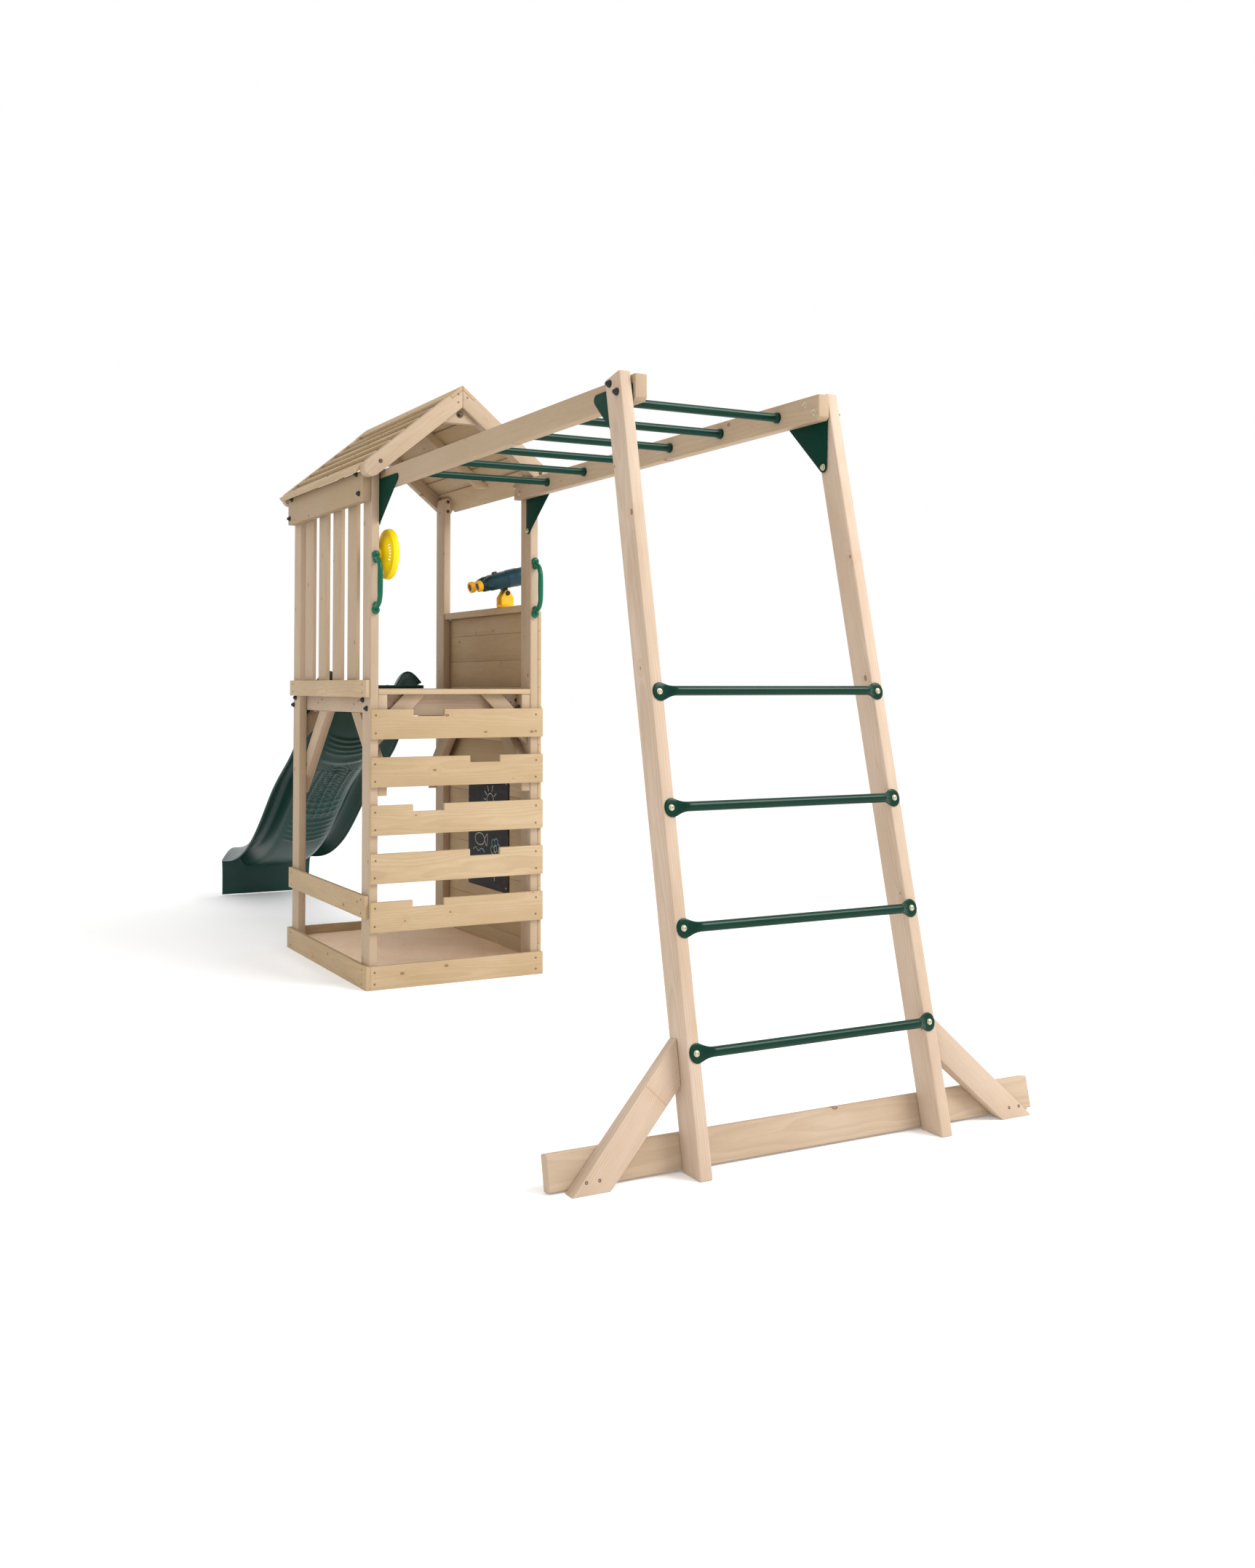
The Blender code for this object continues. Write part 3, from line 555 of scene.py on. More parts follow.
def roof_frames():
    """Two rafters with round ends, meeting under the ridge boards, and a plate behind the joint."""
    front_low, front_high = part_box("roof_frame_front")
    back_low, back_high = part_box("roof_frame_back")
    seat, cover, run = 0.0153, 0.0748, 0.034
    joint_z = RAFTER_MID - RAFTER_DEPTH / 2.0 / COS_P
    angle = math.degrees(PITCH)
    rafter = [(0.0004, PEAK - seat / COS_P), on_slope(cover, seat), on_slope(cover, 0.0)]
    rafter += arc(POST_MID + run, RAFTER_BOLT_Z - run * TAN_P, RAFTER_DEPTH / 2.0,
                  90.0 - angle, -90.0 - angle, 20)
    rafter += [(0.0004, joint_z)]
    foot = 2.296
    span = (joint_z - foot) / TAN_P
    gusset = [(-span + 0.002, foot), (span - 0.002, foot), (0.0, joint_z - 0.001)]
    for node, low, high, plate in (
            ("roof_frame_front", front_low, front_high, (front_low.x + 0.002, front_high.x - 0.020)),
            ("roof_frame_back", back_low, back_high, (back_low.x + 0.010, back_high.x - 0.002))):
        for tag, side, shape in (("left", -1.0, mirror(rafter)), ("right", 1.0, rafter)):
            board(f"{node}_{tag}", node, shape, "x", (low.x, high.x), TIMBER,
                  (0.0, side * COS_P, -SIN_P), (0.0, SIN_P, side * COS_P), 0.0022)
        board(f"{node}_gusset", node, gusset, "x", plate, TIMBER, Y, Z)


def roof_slopes():
    """Six feather-edge slats a side, whose thin upper edges tuck under the board above,
    with a batten below them and a ridge board over them."""
    low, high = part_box("roof_slope_right")
    ridge_low, ridge_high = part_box("roof_ridge_cap")
    wide, thick, thin, last = 0.0745, 0.015, 0.0055, 6
    middle = (low.x + high.x) / 2.0
    for tag, side in (("right", 1.0), ("left", -1.0)):
        node = f"roof_slope_{tag}"
        down = Vector((0.0, side * COS_P, -SIN_P))

        def strip(name, of, outline, span, along, across, ease):
            board(name, of, outline if side > 0 else mirror(outline), "x", span, BOARD, along, across, ease)

        for k in range(1, last + 1):
            start = SLAT_PITCH * k
            upper = start - 0.014
            tuck = 0.0160 if k == 1 else 0.0135
            lifted = SLAT_RECESS - 0.0055 + rng.uniform(-0.0004, 0.0004)
            # the lowest board is longer and thicker, and shuts the gap over the top beam
            end = start + (wide if k < last else wide + 0.030)
            butt = thick if k < last else thick + 0.006
            outline = [on_slope(upper, tuck), on_slope(end, lifted), on_slope(end, lifted + butt),
                       on_slope(upper, tuck + thin)]
            strip(f"roof_slat_{tag}_{k}", node, outline, (low.x, high.x), X, down, 0.002)
        top = SLAT_RECESS + thick - 0.001
        foot = top + 0.036
        outline = [on_slope(0.060, top), on_slope(0.500, top), on_slope(0.465, foot), on_slope(0.060, foot)]
        strip(f"roof_batten_{tag}", node, outline, (middle - 0.020, middle + 0.020), down, X, 0.002)
        outline = [(0.0004, PEAK), on_slope(wide, 0.0), on_slope(wide, thick), (0.0004, PEAK - thick / COS_P)]
        strip(f"ridge_board_{tag}", "roof_ridge_cap", outline, (ridge_low.x, ridge_high.x), X, down, 0.0018)


roof_frames()
roof_slopes()


# ---- steel: rungs and corner plates ----------------------------------------------------
def overhead_rungs():
    """Round bars with a stepped flange at each end."""
    bar, flange = 0.0135, 0.0170
    steps = [(0.0, flange - 0.001), (0.001, flange), (0.009, flange), (0.011, flange - 0.001),
             (0.014, bar + 0.0006), (0.018, bar)]
    for i in range(1, 7):
        node = f"overhead_rung_{i}"
        low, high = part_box(node)
        middle = (low + high) / 2.0
        end = [(along - (high.y - middle.y), radius) for along, radius in steps]
        profile = end + [(0.0, bar)] + [(-along, radius) for along, radius in reversed(end)]
        new_piece(f"bar_{node}", turned(profile, middle, Y, 40), GREEN_STEEL, node)


def ladder_rungs():
    """Tube flattened to a rounded paddle at each end, where one screw holds it to the leg."""
    # distance from the end, half width, half thickness
    stations = [
        (0.0, 0.004, 0.0022), (0.0008, 0.0085, 0.0028), (0.003, 0.0145, 0.0031), (0.0065, 0.019, 0.0032),
        (0.011, 0.0222, 0.0032), (0.0165, 0.0243, 0.0032), (0.022, 0.025, 0.0032), (0.028, 0.0243, 0.0032),
        (0.034, 0.0224, 0.0034), (0.0395, 0.0198, 0.0044), (0.045, 0.017, 0.0062), (0.0505, 0.0149, 0.0088),
        (0.056, 0.0136, 0.0113), (0.061, 0.0131, 0.0126), (0.066, 0.013, 0.013), (0.076, 0.013, 0.013),
    ]
    axis_out, screw_in, around = 0.0133, 0.019, 32
    heads = bmesh.new()
    for i in range(1, 5):
        node = f"ladder_rung_{i}"
        low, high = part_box(node)
        # point on the front plane of the legs, behind the middle of the rung
        centre = Vector(((low.x + high.x) / 2.0, 0.0, (low.z + high.z) / 2.0)) - OUT_LADDER * axis_out
        half = [(d - high.y, w, t) for d, w, t in stations]
        rings = []
        for y, w, t in half + [(-y, w, t) for y, w, t in reversed(half)]:
            ring = []
            for k in range(around):
                turn = 2.0 * math.pi * k / around
                p = centre + OUT_LADDER * (GAP + t + t * math.cos(turn)) + UP_LADDER * (w * math.sin(turn))
                ring.append((p.x, y, p.z))
            rings.append(ring)
        new_piece(f"bar_{node}", loft(rings), GREEN_STEEL, node, sharp=60.0)
        for side in (-1.0, 1.0):
            at = centre + Y * side * (high.y - screw_in) + OUT_LADDER * 0.0063
            turned([(-0.002, 0.0085), (0.0006, 0.0085), (0.0012, 0.0080)], at, OUT_LADDER, 28, heads)
            turned([(0.0008, 0.0062), (0.0030, 0.0060), (0.0042, 0.0046), (0.0046, 0.0026), (0.0026, 0.0020),
                    (0.0024, 0.0004)], at, OUT_LADDER, 20, heads)
    new_piece("rung_screws", heads, ZINC)


def corner_plates():
    """Triangular plates with two bolts each, and a black disc of painted shade over each one's empty hole; a
    place is (x, z).
    """
    bolts, hole_shade = bmesh.new(), bmesh.new()
    tower = ([(0.170, 2.034), (-0.021, 1.872)], (-0.021, 2.034))
    ladder = ([(1.819, 2.0435), (2.006, 1.870)], (2.008, 2.047))
    for side, tag in ((-1.0, "left"), (1.0, "right")):
        for name, (bolted, empty) in (("tower", tower), ("ladder", ladder)):
            node = f"bracket_{name}_{tag}"
            new_piece(f"plate_{node}", eased(cad_copy(node), 0.0008, 2, 50.0), PLATE_STEEL, node)
            low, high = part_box(node)
            face, way = low.y if side > 0 else high.y, -Y * side
            for x, z in bolted:
                at = spot(x, face, z)
                turned([(-0.001, 0.0105), (0.0009, 0.0105), (0.0013, 0.0100)], at, way, 28, bolts)
                turned([(0.001, 0.0072), (0.0058, 0.0072), (0.0068, 0.0064)], at, way, 6, bolts)
                turned([(0.006, 0.0040), (0.0086, 0.0039), (0.0092, 0.0032)], at, way, 16, bolts)
            # painted shade: a thin black disc on the plate's face stands for the dark inside of the empty
            # hole
            turned([(-0.0005, 0.0048), (0.0002, 0.0048)], spot(empty[0], face, empty[1]), way, 20, hole_shade)
    new_piece("plate_bolts", bolts, ZINC)
    new_piece("plate_hole_shade", hole_shade, BLACK)


overhead_rungs()
ladder_rungs()
corner_plates()


# ---- fasteners ---------------------------------------------------------------------------
def bolt_caps():
    """Black snap-on caps over the bolts; a place is (x, z)."""
    black = bmesh.new()
    dome = [(0.0, 0.0110), (0.0030, 0.0112), (0.0050, 0.0105), (0.0095, 0.0072), (0.0125, 0.0058),
            (0.0138, 0.0046), (0.0142, 0.0020)]

    def row(y, way, places):
        for x, z in places:
            turned(dome, spot(x, y, z), way, 24, black)

    row(LEFT_Y, -Y, ((-0.083, 1.154), (-0.040, 1.120), (-1.010, 1.156), (-1.040, 1.123)))
    row(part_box("top_beam_left")[0].y, -Y,
        ((-0.069, 2.070), (-0.039, 1.988), (-0.965, 2.070), (-1.001, 1.985)))
    row(RIGHT_Y, Y, ((-0.064, 2.060), (-0.028, 2.028)))
    row(WALL_OUT, Y, ((-0.062, 1.154), (-0.030, 1.120), (-1.010, 1.154), (-1.030, 1.120)))
    for side in (-1.0, 1.0):
        for x, z in RAIL_BOLTS:
            leg_y = LEG_TOP_Y + (LEG_TOP_Z - z) * math.tan(LEG_SPLAY)
            row(side * leg_y, Y * side, ((x, z),))
    row(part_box("deck_frame_right")[0].y, -Y, ((-0.064, 1.151), (-0.028, 1.120)))
    new_piece("bolt_caps", black, BLACK)


def roof_bolts():
    """Slotted heads on the front rafters and the rail's end, and a hexagon bolt on the gusset."""
    dark = bmesh.new()
    slotted = [(-0.001, 0.0085), (0.0012, 0.0085), (0.0024, 0.0072), (0.0026, 0.0030), (0.0016, 0.0026),
               (0.0015, 0.0004)]
    face_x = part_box("roof_frame_front")[1].x
    for side in (-1.0, 1.0):
        turned(slotted, (face_x, side * POST_MID, RAFTER_BOLT_Z), X, 20, dark)
    hexagon_at = (face_x - 0.020, -0.005, 2.333)
    turned([(-0.001, 0.0150), (0.0015, 0.0150), (0.0030, 0.0138)], hexagon_at, X, 28, dark)
    turned([(0.002, 0.0085), (0.0090, 0.0085), (0.0100, 0.0074)], hexagon_at, X, 6, dark)
    for z in (2.104, 2.057):
        turned(slotted, spot(-0.955, 0.361, z), X, 20, dark)
    new_piece("roof_bolts", dark, DARK_METAL)


def rail_nuts():
    """Washer, nut and bolt end on the inner faces of the rails."""
    nuts = bmesh.new()
    rail_in = 0.2964
    for side in (-1.0, 1.0):
        for x, z in RAIL_BOLTS + [(-0.062, 2.060), (-0.020, 2.030)]:
            at = spot(x, side * rail_in, z)
            turned([(-0.001, 0.0100), (0.0006, 0.0100), (0.0010, 0.0094)], at, -Y * side, 24, nuts)
            turned([(0.0005, 0.0066), (0.0040, 0.0066), (0.0048, 0.0056)], at, -Y * side, 6, nuts)
            turned([(0.004, 0.0036), (0.0070, 0.0034)], at, -Y * side, 14, nuts)
    new_piece("rail_nuts", nuts, ZINC)


def wood_screws():
    heads = bmesh.new()
    head = [(-0.0010, 0.0040), (0.0002, 0.0042), (0.0005, 0.0038), (0.0001, 0.0018), (-0.0004, 0.0014),
            (-0.0005, 0.0003)]

    def drive(at, way):
        turned(head, at, way, 14, heads)

    def off():
        return rng.uniform(-0.002, 0.002)

    # climbing planks: two at each end, into the posts
    for i in range(1, 6):
        low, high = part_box(f"climb_plank_{i}")
        for side in (-1.0, 1.0):
            for z in (low.z + 0.025, high.z - 0.025):
                drive((high.x, side * POST_MID + off(), z + off()), X)
    # sandpit boards, front and back
    for face, way in ((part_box("sandpit_board_front")[1].x, X), (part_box("sandpit_board_back")[0].x, -X)):
        for side in (-1.0, 1.0):
            for z in (0.024, 0.070):
                drive((face, side * POST_MID, z), way)
    # boards along the left side
    for node, inset in (("sandpit_board_left", 0.055), ("low_board_left", 0.045), ("deck_board_left", 0.045)):
        low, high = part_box(node)
        for x in (low.x + inset, high.x - inset):
            for z in (low.z + 0.018, high.z - 0.018):
                drive((x, low.y, z), -Y)
    # braces of the left deck frame
    for x, z in ((-0.300, 1.135), (-0.240, 1.150), (-0.790, 1.135), (-0.730, 1.150)):
        drive(spot(x, -INNER_Y, z), -Y)
    # wall slats: two at the top and bottom of each, from inside
    for i in range(1, 5):
        low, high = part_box(f"wall_slat_{i}")
        for x in (low.x + 0.030, high.x - 0.030):
            for z in (low.z + 0.022, high.z - 0.050):
                drive((x, high.y, z), Y)
    # right wall boards, into the posts
    for k in range(1, 13):
        z = WALL_FIRST + WALL_PITCH * (k - 0.5)
        for x in (-0.050, -1.000):
            for dz in (-0.032, 0.032):
                drive(spot(x, WALL_OUT, z + dz), Y)
    # cross braces under the deck
    brace_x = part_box("deck_frame_front")[1].x
    for side in (-1.0, 1.0):
        for y, z in ((0.262, 1.142), (0.286, 1.118), (0.240, 1.120)):
            drive((brace_x, side * y, z), X)
    # rafters, at the peak
    face_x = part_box("roof_frame_front")[1].x
    for y, z in ((-0.020, 2.412), (-0.020, 2.378), (0.020, 2.400)):
        drive((face_x, y, z), X)
    # ridge boards and roof slats: three along each
    for side in (-1.0, 1.0):
        normal = Vector((0.0, side * SIN_P, COS_P))
        for k in range(0, 7):
            below = SLAT_RECESS if k else 0.0
            y, z = on_slope(SLAT_PITCH * k + 0.037, below)
            for x in (-0.045, -0.500, -1.005) if k else (0.030, -0.500, -1.075):
                drive(spot(x, side * y, z), normal)
    # deck boards
    low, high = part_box("deck_floor")
    for i in range(DECK_BOARDS):
        x = low.x + (high.x - low.x) * (i + 0.5) / DECK_BOARDS
        for y in (-0.318, 0.318):
            drive((x, y, high.z), Z)
    # base plank and its braces, measured up the back plane of the legs
    back = spot(LEG_FOOT_X, 0.0, 0.0) - OUT_LADDER * LEG_DEPTH
    back = back + UP_LADDER * (-back.z / UP_LADDER.z)
    for side in (-1.0, 1.0):
        for y, up, out, way in ((0.692, 0.022, BASE_T, OUT_LADDER), (0.656, 0.022, BASE_T, OUT_LADDER),
                                (0.372, 0.030, -0.0303, -OUT_LADDER), (0.390, 0.070, -0.0303, -OUT_LADDER)):
            p = back + UP_LADDER * up + OUT_LADDER * out
            drive((p.x, side * y, p.z), way)
    new_piece("wood_screws", heads, DARK_METAL)


bolt_caps()
roof_bolts()
rail_nuts()
wood_screws()


# ---- moulded fittings --------------------------------------------------------------------
def swept(path, y, segments=24):
    """Tube along a path of (x, z, radius) in the plane at y."""
    rings = []
    count = len(path)
    for i, (x, z, radius) in enumerate(path):
        px, pz, _ = path[max(i - 1, 0)]
        nx, nz, _ = path[min(i + 1, count - 1)]
        along = Vector((nx - px, 0.0, nz - pz)).normalized()
        normal = along.cross(Y)
        rings.append([Vector((x, y, z)) + Y * (radius * math.cos(t)) + normal * (radius * math.sin(t))
                      for t in (2.0 * math.pi * k / segments for k in range(segments))])
    return loft(rings)


def smooth_path(points, steps=6):
    """Catmull-Rom curve through points of any length."""
    out = []
    count = len(points)
    for i in range(count - 1):
        p0, p1, p2, p3 = points[max(i - 1, 0)], points[i], points[i + 1], points[min(i + 2, count - 1)]
        for k in range(steps):
            t = k / steps
            out.append(tuple(0.5 * (2 * b + (c - a) * t + (2 * a - 5 * b + 4 * c - d) * t * t
                                    + (3 * b - a - 3 * c + d) * t ** 3)
                             for a, b, c, d in zip(p0, p1, p2, p3)))
    out.append(tuple(points[-1]))
    return out


def ball(bm, at, radius, flat):
    """Sphere flattened along x."""
    made = bmesh.ops.create_uvsphere(bm, u_segments=24, v_segments=14, radius=radius)["verts"]
    for v in made:
        v.co = Vector((v.co.x * flat, v.co.y, v.co.z)) + Vector(at)


def handles():
    """Grab handles: a bowed grip between two flattened bosses with screw plugs."""
    bow = 0.060
    plug = [(-0.002, 0.0050), (0.0004, 0.0050), (0.0008, 0.0042), (-0.0006, 0.0026), (-0.0008, 0.0005)]
    for tag, side in (("left", -1.0), ("right", 1.0)):
        node = f"grab_handle_{tag}"
        low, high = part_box(node)
        y = side * POST_MID
        top, middle = high.z, (high.z + low.z) / 2.0
        half = [(0.010, top - 0.026, 0.0105), (0.022, top - 0.031, 0.0105), (0.038, top - 0.038, 0.0102),
                (0.051, top - 0.051, 0.0102), (bow - 0.0015, top - 0.070, 0.0104), (bow, top - 0.092, 0.0110),
                (bow, middle, 0.0114)]
        half = [(FRONT_X + x, z, r) for x, z, r in half]
        path = half + [(x, 2.0 * middle - z, r) for x, z, r in reversed(half[:-1])]
        new_piece(f"grip_{tag}", swept(smooth_path(path), y), HANDLE_PLASTIC, node)
        bosses, plugs = bmesh.new(), bmesh.new()
        for end, sign in ((top, -1.0), (low.z, 1.0)):
            ball(bosses, (FRONT_X + 0.0095, y, end + sign * 0.0165), 0.0172, 0.62)
            ball(bosses, (FRONT_X + 0.0120, y, end + sign * 0.0370), 0.0138, 0.95)
            turned(plug, (FRONT_X + 0.0200, y, end + sign * 0.0145), X, 18, plugs)
        new_piece(f"grip_bosses_{tag}", bosses, HANDLE_PLASTIC, node)
        new_piece(f"grip_plugs_{tag}", plugs, BLACK, node)


def wheel():
    """Deep-dished wheel with three groups of slots through the dish; spins about its boss."""
    node = "steering_wheel"
    low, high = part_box(node)
    centre = Vector(((low.x + high.x) / 2.0, low.y, (low.z + high.z) / 2.0))
    # (distance from the post, radius): up the back of the dish, then down its face to the hub
    back = [(0.0000, 0.0240), (0.0015, 0.0255), (0.0110, 0.0255), (0.0165, 0.0270), (0.0190, 0.0330),
            (0.0205, 0.0440), (0.0225, 0.0540), (0.0300, 0.0670), (0.0370, 0.0775), (0.0405, 0.0830),
            (0.0410, 0.0905), (0.0418, 0.0990), (0.0445, 0.1012), (0.0560, 0.1040), (0.0615, 0.1034)]
    face = [(0.0660, 0.1005), (0.0678, 0.0960), (0.0672, 0.0920), (0.0640, 0.0892), (0.0560, 0.0872),
            (0.0470, 0.0850), (0.0402, 0.0760), (0.0332, 0.0655), (0.0262, 0.0540), (0.0250, 0.0440),
            (0.0270, 0.0340), (0.0330, 0.0290), (0.0470, 0.0240), (0.0505, 0.0150), (0.0510, 0.0050)]
    segments = 72
    bm = bmesh.new()
    rows = [[bm.verts.new(centre + Y * along + radius * (X * math.cos(t) + Z * math.sin(t)))
             for t in (2.0 * math.pi * k / segments for k in range(segments))]
            for along, radius in back + face]
    back_row, face_row = 7, len(back) + 6           # the rows that the slots cut through
    slots = {k % segments for m in (0, 24, 48) for k in range(m - 5, m + 6, 2)}
    for i, (one, two) in enumerate(zip(rows[:-1], rows[1:])):
        for k in range(segments):
            if k in slots and i in (back_row, face_row):
                continue
            j = (k + 1) % segments
            bm.faces.new((one[k], one[j], two[j], two[k]))
    for k in slots:
        j = (k + 1) % segments
        outer, inner = (rows[back_row], rows[back_row + 1]), (rows[face_row + 1], rows[face_row])
        bm.faces.new((outer[0][k], outer[0][j], inner[0][j], inner[0][k]))
        bm.faces.new((outer[1][j], outer[1][k], inner[1][k], inner[1][j]))
        for end in (k, j):
            bm.faces.new((outer[0][end], outer[1][end], inner[1][end], inner[0][end]))
    bm.faces.new(list(reversed(rows[0])))
    bm.faces.new(rows[-1])
    new_piece("wheel_dish", bm, YELLOW, node, "wheel", sharp=38.0)
    hub = turned([(0.045, 0.0215), (0.0530, 0.0210), (0.0560, 0.0180), (0.0565, 0.0050)], centre, Y, 36)
    new_piece("wheel_hub_cap", hub, YELLOW, node, "wheel")


def binoculars():
    """Two stepped barrels on a bridge, tilting on an amber block that swivels."""
    node, mount = "binoculars", "binocular_mount"
    mount_low, mount_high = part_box(mount)
    pin = Vector(((mount_low.x + mount_high.x) / 2.0, RIGHT_Y, 1.623))
    rest_tilt = math.radians(14.0)
    aim = Vector((0.0, math.cos(rest_tilt), math.sin(rest_tilt)))
    rise = Vector((0.0, -aim.z, aim.y))
    middle = pin + rise * 0.060 - aim * 0.010
    dark, cups, glass = bmesh.new(), bmesh.new(), bmesh.new()
    # (distance along the aim, radius)
    barrel = [(-0.120, 0.0150), (-0.117, 0.0190), (-0.094, 0.0200), (-0.091, 0.0240), (-0.088, 0.0268),
              (-0.0770, 0.0290), (-0.0700, 0.0318), (-0.0650, 0.0330), (0.0060, 0.0335), (0.0100, 0.0360),
              (0.0160, 0.0380), (0.0500, 0.0385), (0.0530, 0.0400), (0.1000, 0.0402), (0.1050, 0.0394),
              (0.1080, 0.0360), (0.1055, 0.0330), (0.1000, 0.0322), (0.0990, 0.0050)]
    cup = [(-0.1320, 0.0150), (-0.1340, 0.0170), (-0.1344, 0.0225), (-0.1322, 0.0246), (-0.1220, 0.0250),
           (-0.1150, 0.0240), (-0.1120, 0.0210), (-0.1110, 0.0120)]
    for side in (-1.0, 1.0):
        start = middle + X * side * 0.0400
        turned(barrel, start, aim, 40, dark)
        turned(cup, start, aim, 36, cups)
        turned([(-0.1330, 0.0148), (-0.1322, 0.0140), (-0.1280, 0.0020)], start, aim, 28, glass)
        turned([(0.0985, 0.0322), (0.1005, 0.0310), (0.1030, 0.0020)], start, aim, 28, glass)

    def slab(outline, half):
        """Slab across the pin, from (along the aim, up from it) points."""
        points = [(middle.y + a * aim.y - b * aim.z, middle.z + a * aim.z + b * aim.y) for a, b in outline]
        return prism(points, "x", pin.x - half, pin.x + half)

    bridge = slab([(-0.068, -0.024), (0.060, -0.026), (0.074, -0.012), (0.074, 0.016), (0.044, 0.036),
                   (-0.044, 0.036), (-0.068, 0.020)], 0.040)
    lug = slab([(0.026, -0.015), (-0.006, -0.015)] + arc(0.010, -0.060, 0.0115, 180.0, 360.0, 14), 0.0122)
    focus = turned([(-0.030, 0.0100), (-0.028, 0.0115), (-0.012, 0.0115), (-0.010, 0.0100)],
                   middle + rise * 0.0345, aim, 32)
    for part, bm, mat in (("bridge", eased(bridge, 0.004, 3), SCOPE), ("lug", eased(lug, 0.0015), SCOPE),
                          ("barrels", dark, SCOPE), ("eyecups", cups, AMBER), ("lenses", glass, LENS),
                          ("focus_wheel", focus, BLACK)):
        new_piece(f"scope_{part}", bm, mat, node, "scope")

    new_piece("scope_block", eased(cad_copy(mount), 0.0015, 2, 40.0), AMBER, mount, "scope_mount")
    knobs = bmesh.new()
    for side in (-1.0, 1.0):
        turned([(-0.001, 0.0105), (0.0022, 0.0105), (0.0040, 0.0092), (0.0088, 0.0080), (0.0098, 0.0066)],
               (pin.x + side * 0.0290, pin.y, pin.z), X * side, 24, knobs)
    new_piece("scope_knobs", knobs, BLACK, mount, "scope_mount")


handles()
wheel()
binoculars()


# ---- slide -------------------------------------------------------------------------------
# (x, z) down the middle of the bed
SLIDE_BED = [(-1.060, 1.203), (-1.100, 1.192), (-1.150, 1.155), (-1.230, 1.062), (-1.310, 0.965),
             (-1.390, 0.880), (-1.480, 0.815), (-1.580, 0.757), (-1.680, 0.700), (-1.780, 0.634),
             (-1.880, 0.556), (-1.980, 0.476), (-2.080, 0.402), (-2.180, 0.338), (-2.280, 0.288),
             (-2.380, 0.248), (-2.480, 0.218), (-2.580, 0.197), (-2.680, 0.183), (-2.760, 0.175),
             (-2.796, 0.170)]
# side wall and rolled rim: (y, part of the wall's height)
SLIDE_WALL = [(0.112, 0.00), (0.138, 0.10), (0.160, 0.55), (0.176, 0.88), (0.194, 1.00), (0.214, 0.94),
              (0.234, 0.74), (0.252, 0.48), (0.262, 0.32)]
# skirt: (x, part of the width kept, part of the way down to the foot)
SLIDE_SKIRT = [(-2.802, 0.996, 0.03), (-2.806, 0.992, 0.10), (-2.809, 0.988, 0.25), (-2.811, 0.985, 0.45),
               (-2.8125, 0.983, 0.65), (-2.8135, 0.981, 0.85), (-2.814, 0.980, 0.99)]
WALL_HEIGHT, SLIDE_FOOT, SHEET = 0.100, 0.004, 0.0058


def relief(s, y):
    """Depth of the ribs under the slide, at a distance s down the bed."""
    def hump(value, centre, width):
        return math.exp(-((value - centre) / width) ** 2)

    def wave(start, length, power):
        return max(0.0, math.sin((bow - start) * 2.0 * math.pi / length)) ** power

    def columns(width):
        return max(hump(abs(y), centre, width) for centre in (0.0, 0.036, 0.072, 0.104))

    bow = s + 0.35 * y * y / 0.118                  # the cross ribs bow down the slide at the sides
    rise = 0.0
    for centre in (0.385, 0.420, 0.455, 0.490):
        rise += 0.0060 * hump(bow, centre, 0.0085)
    rise += 0.0085 * hump(bow, 0.555, 0.022)
    if 0.600 < bow < 0.664:                         # fine ribs
        rise += 0.0050 * wave(0.600, 0.0160, 1.5)
    if 0.664 < bow < 0.976:                         # grid
        rise += 0.0046 * wave(0.664, 0.0240, 1.5)
        rise += 0.0050 * columns(0.0038)
    if 0.976 < bow < 1.136:                         # wide grid
        rise += 0.0055 * wave(0.976, 0.0533, 0.8)
        rise += 0.0045 * columns(0.0048)
    for k in range(5):                              # broad ribs
        rise += 0.0075 * hump(bow, 1.172 + 0.048 * k, 0.0120)
    return rise * max(0.0, 1.0 - (abs(y) / 0.120) ** 6)


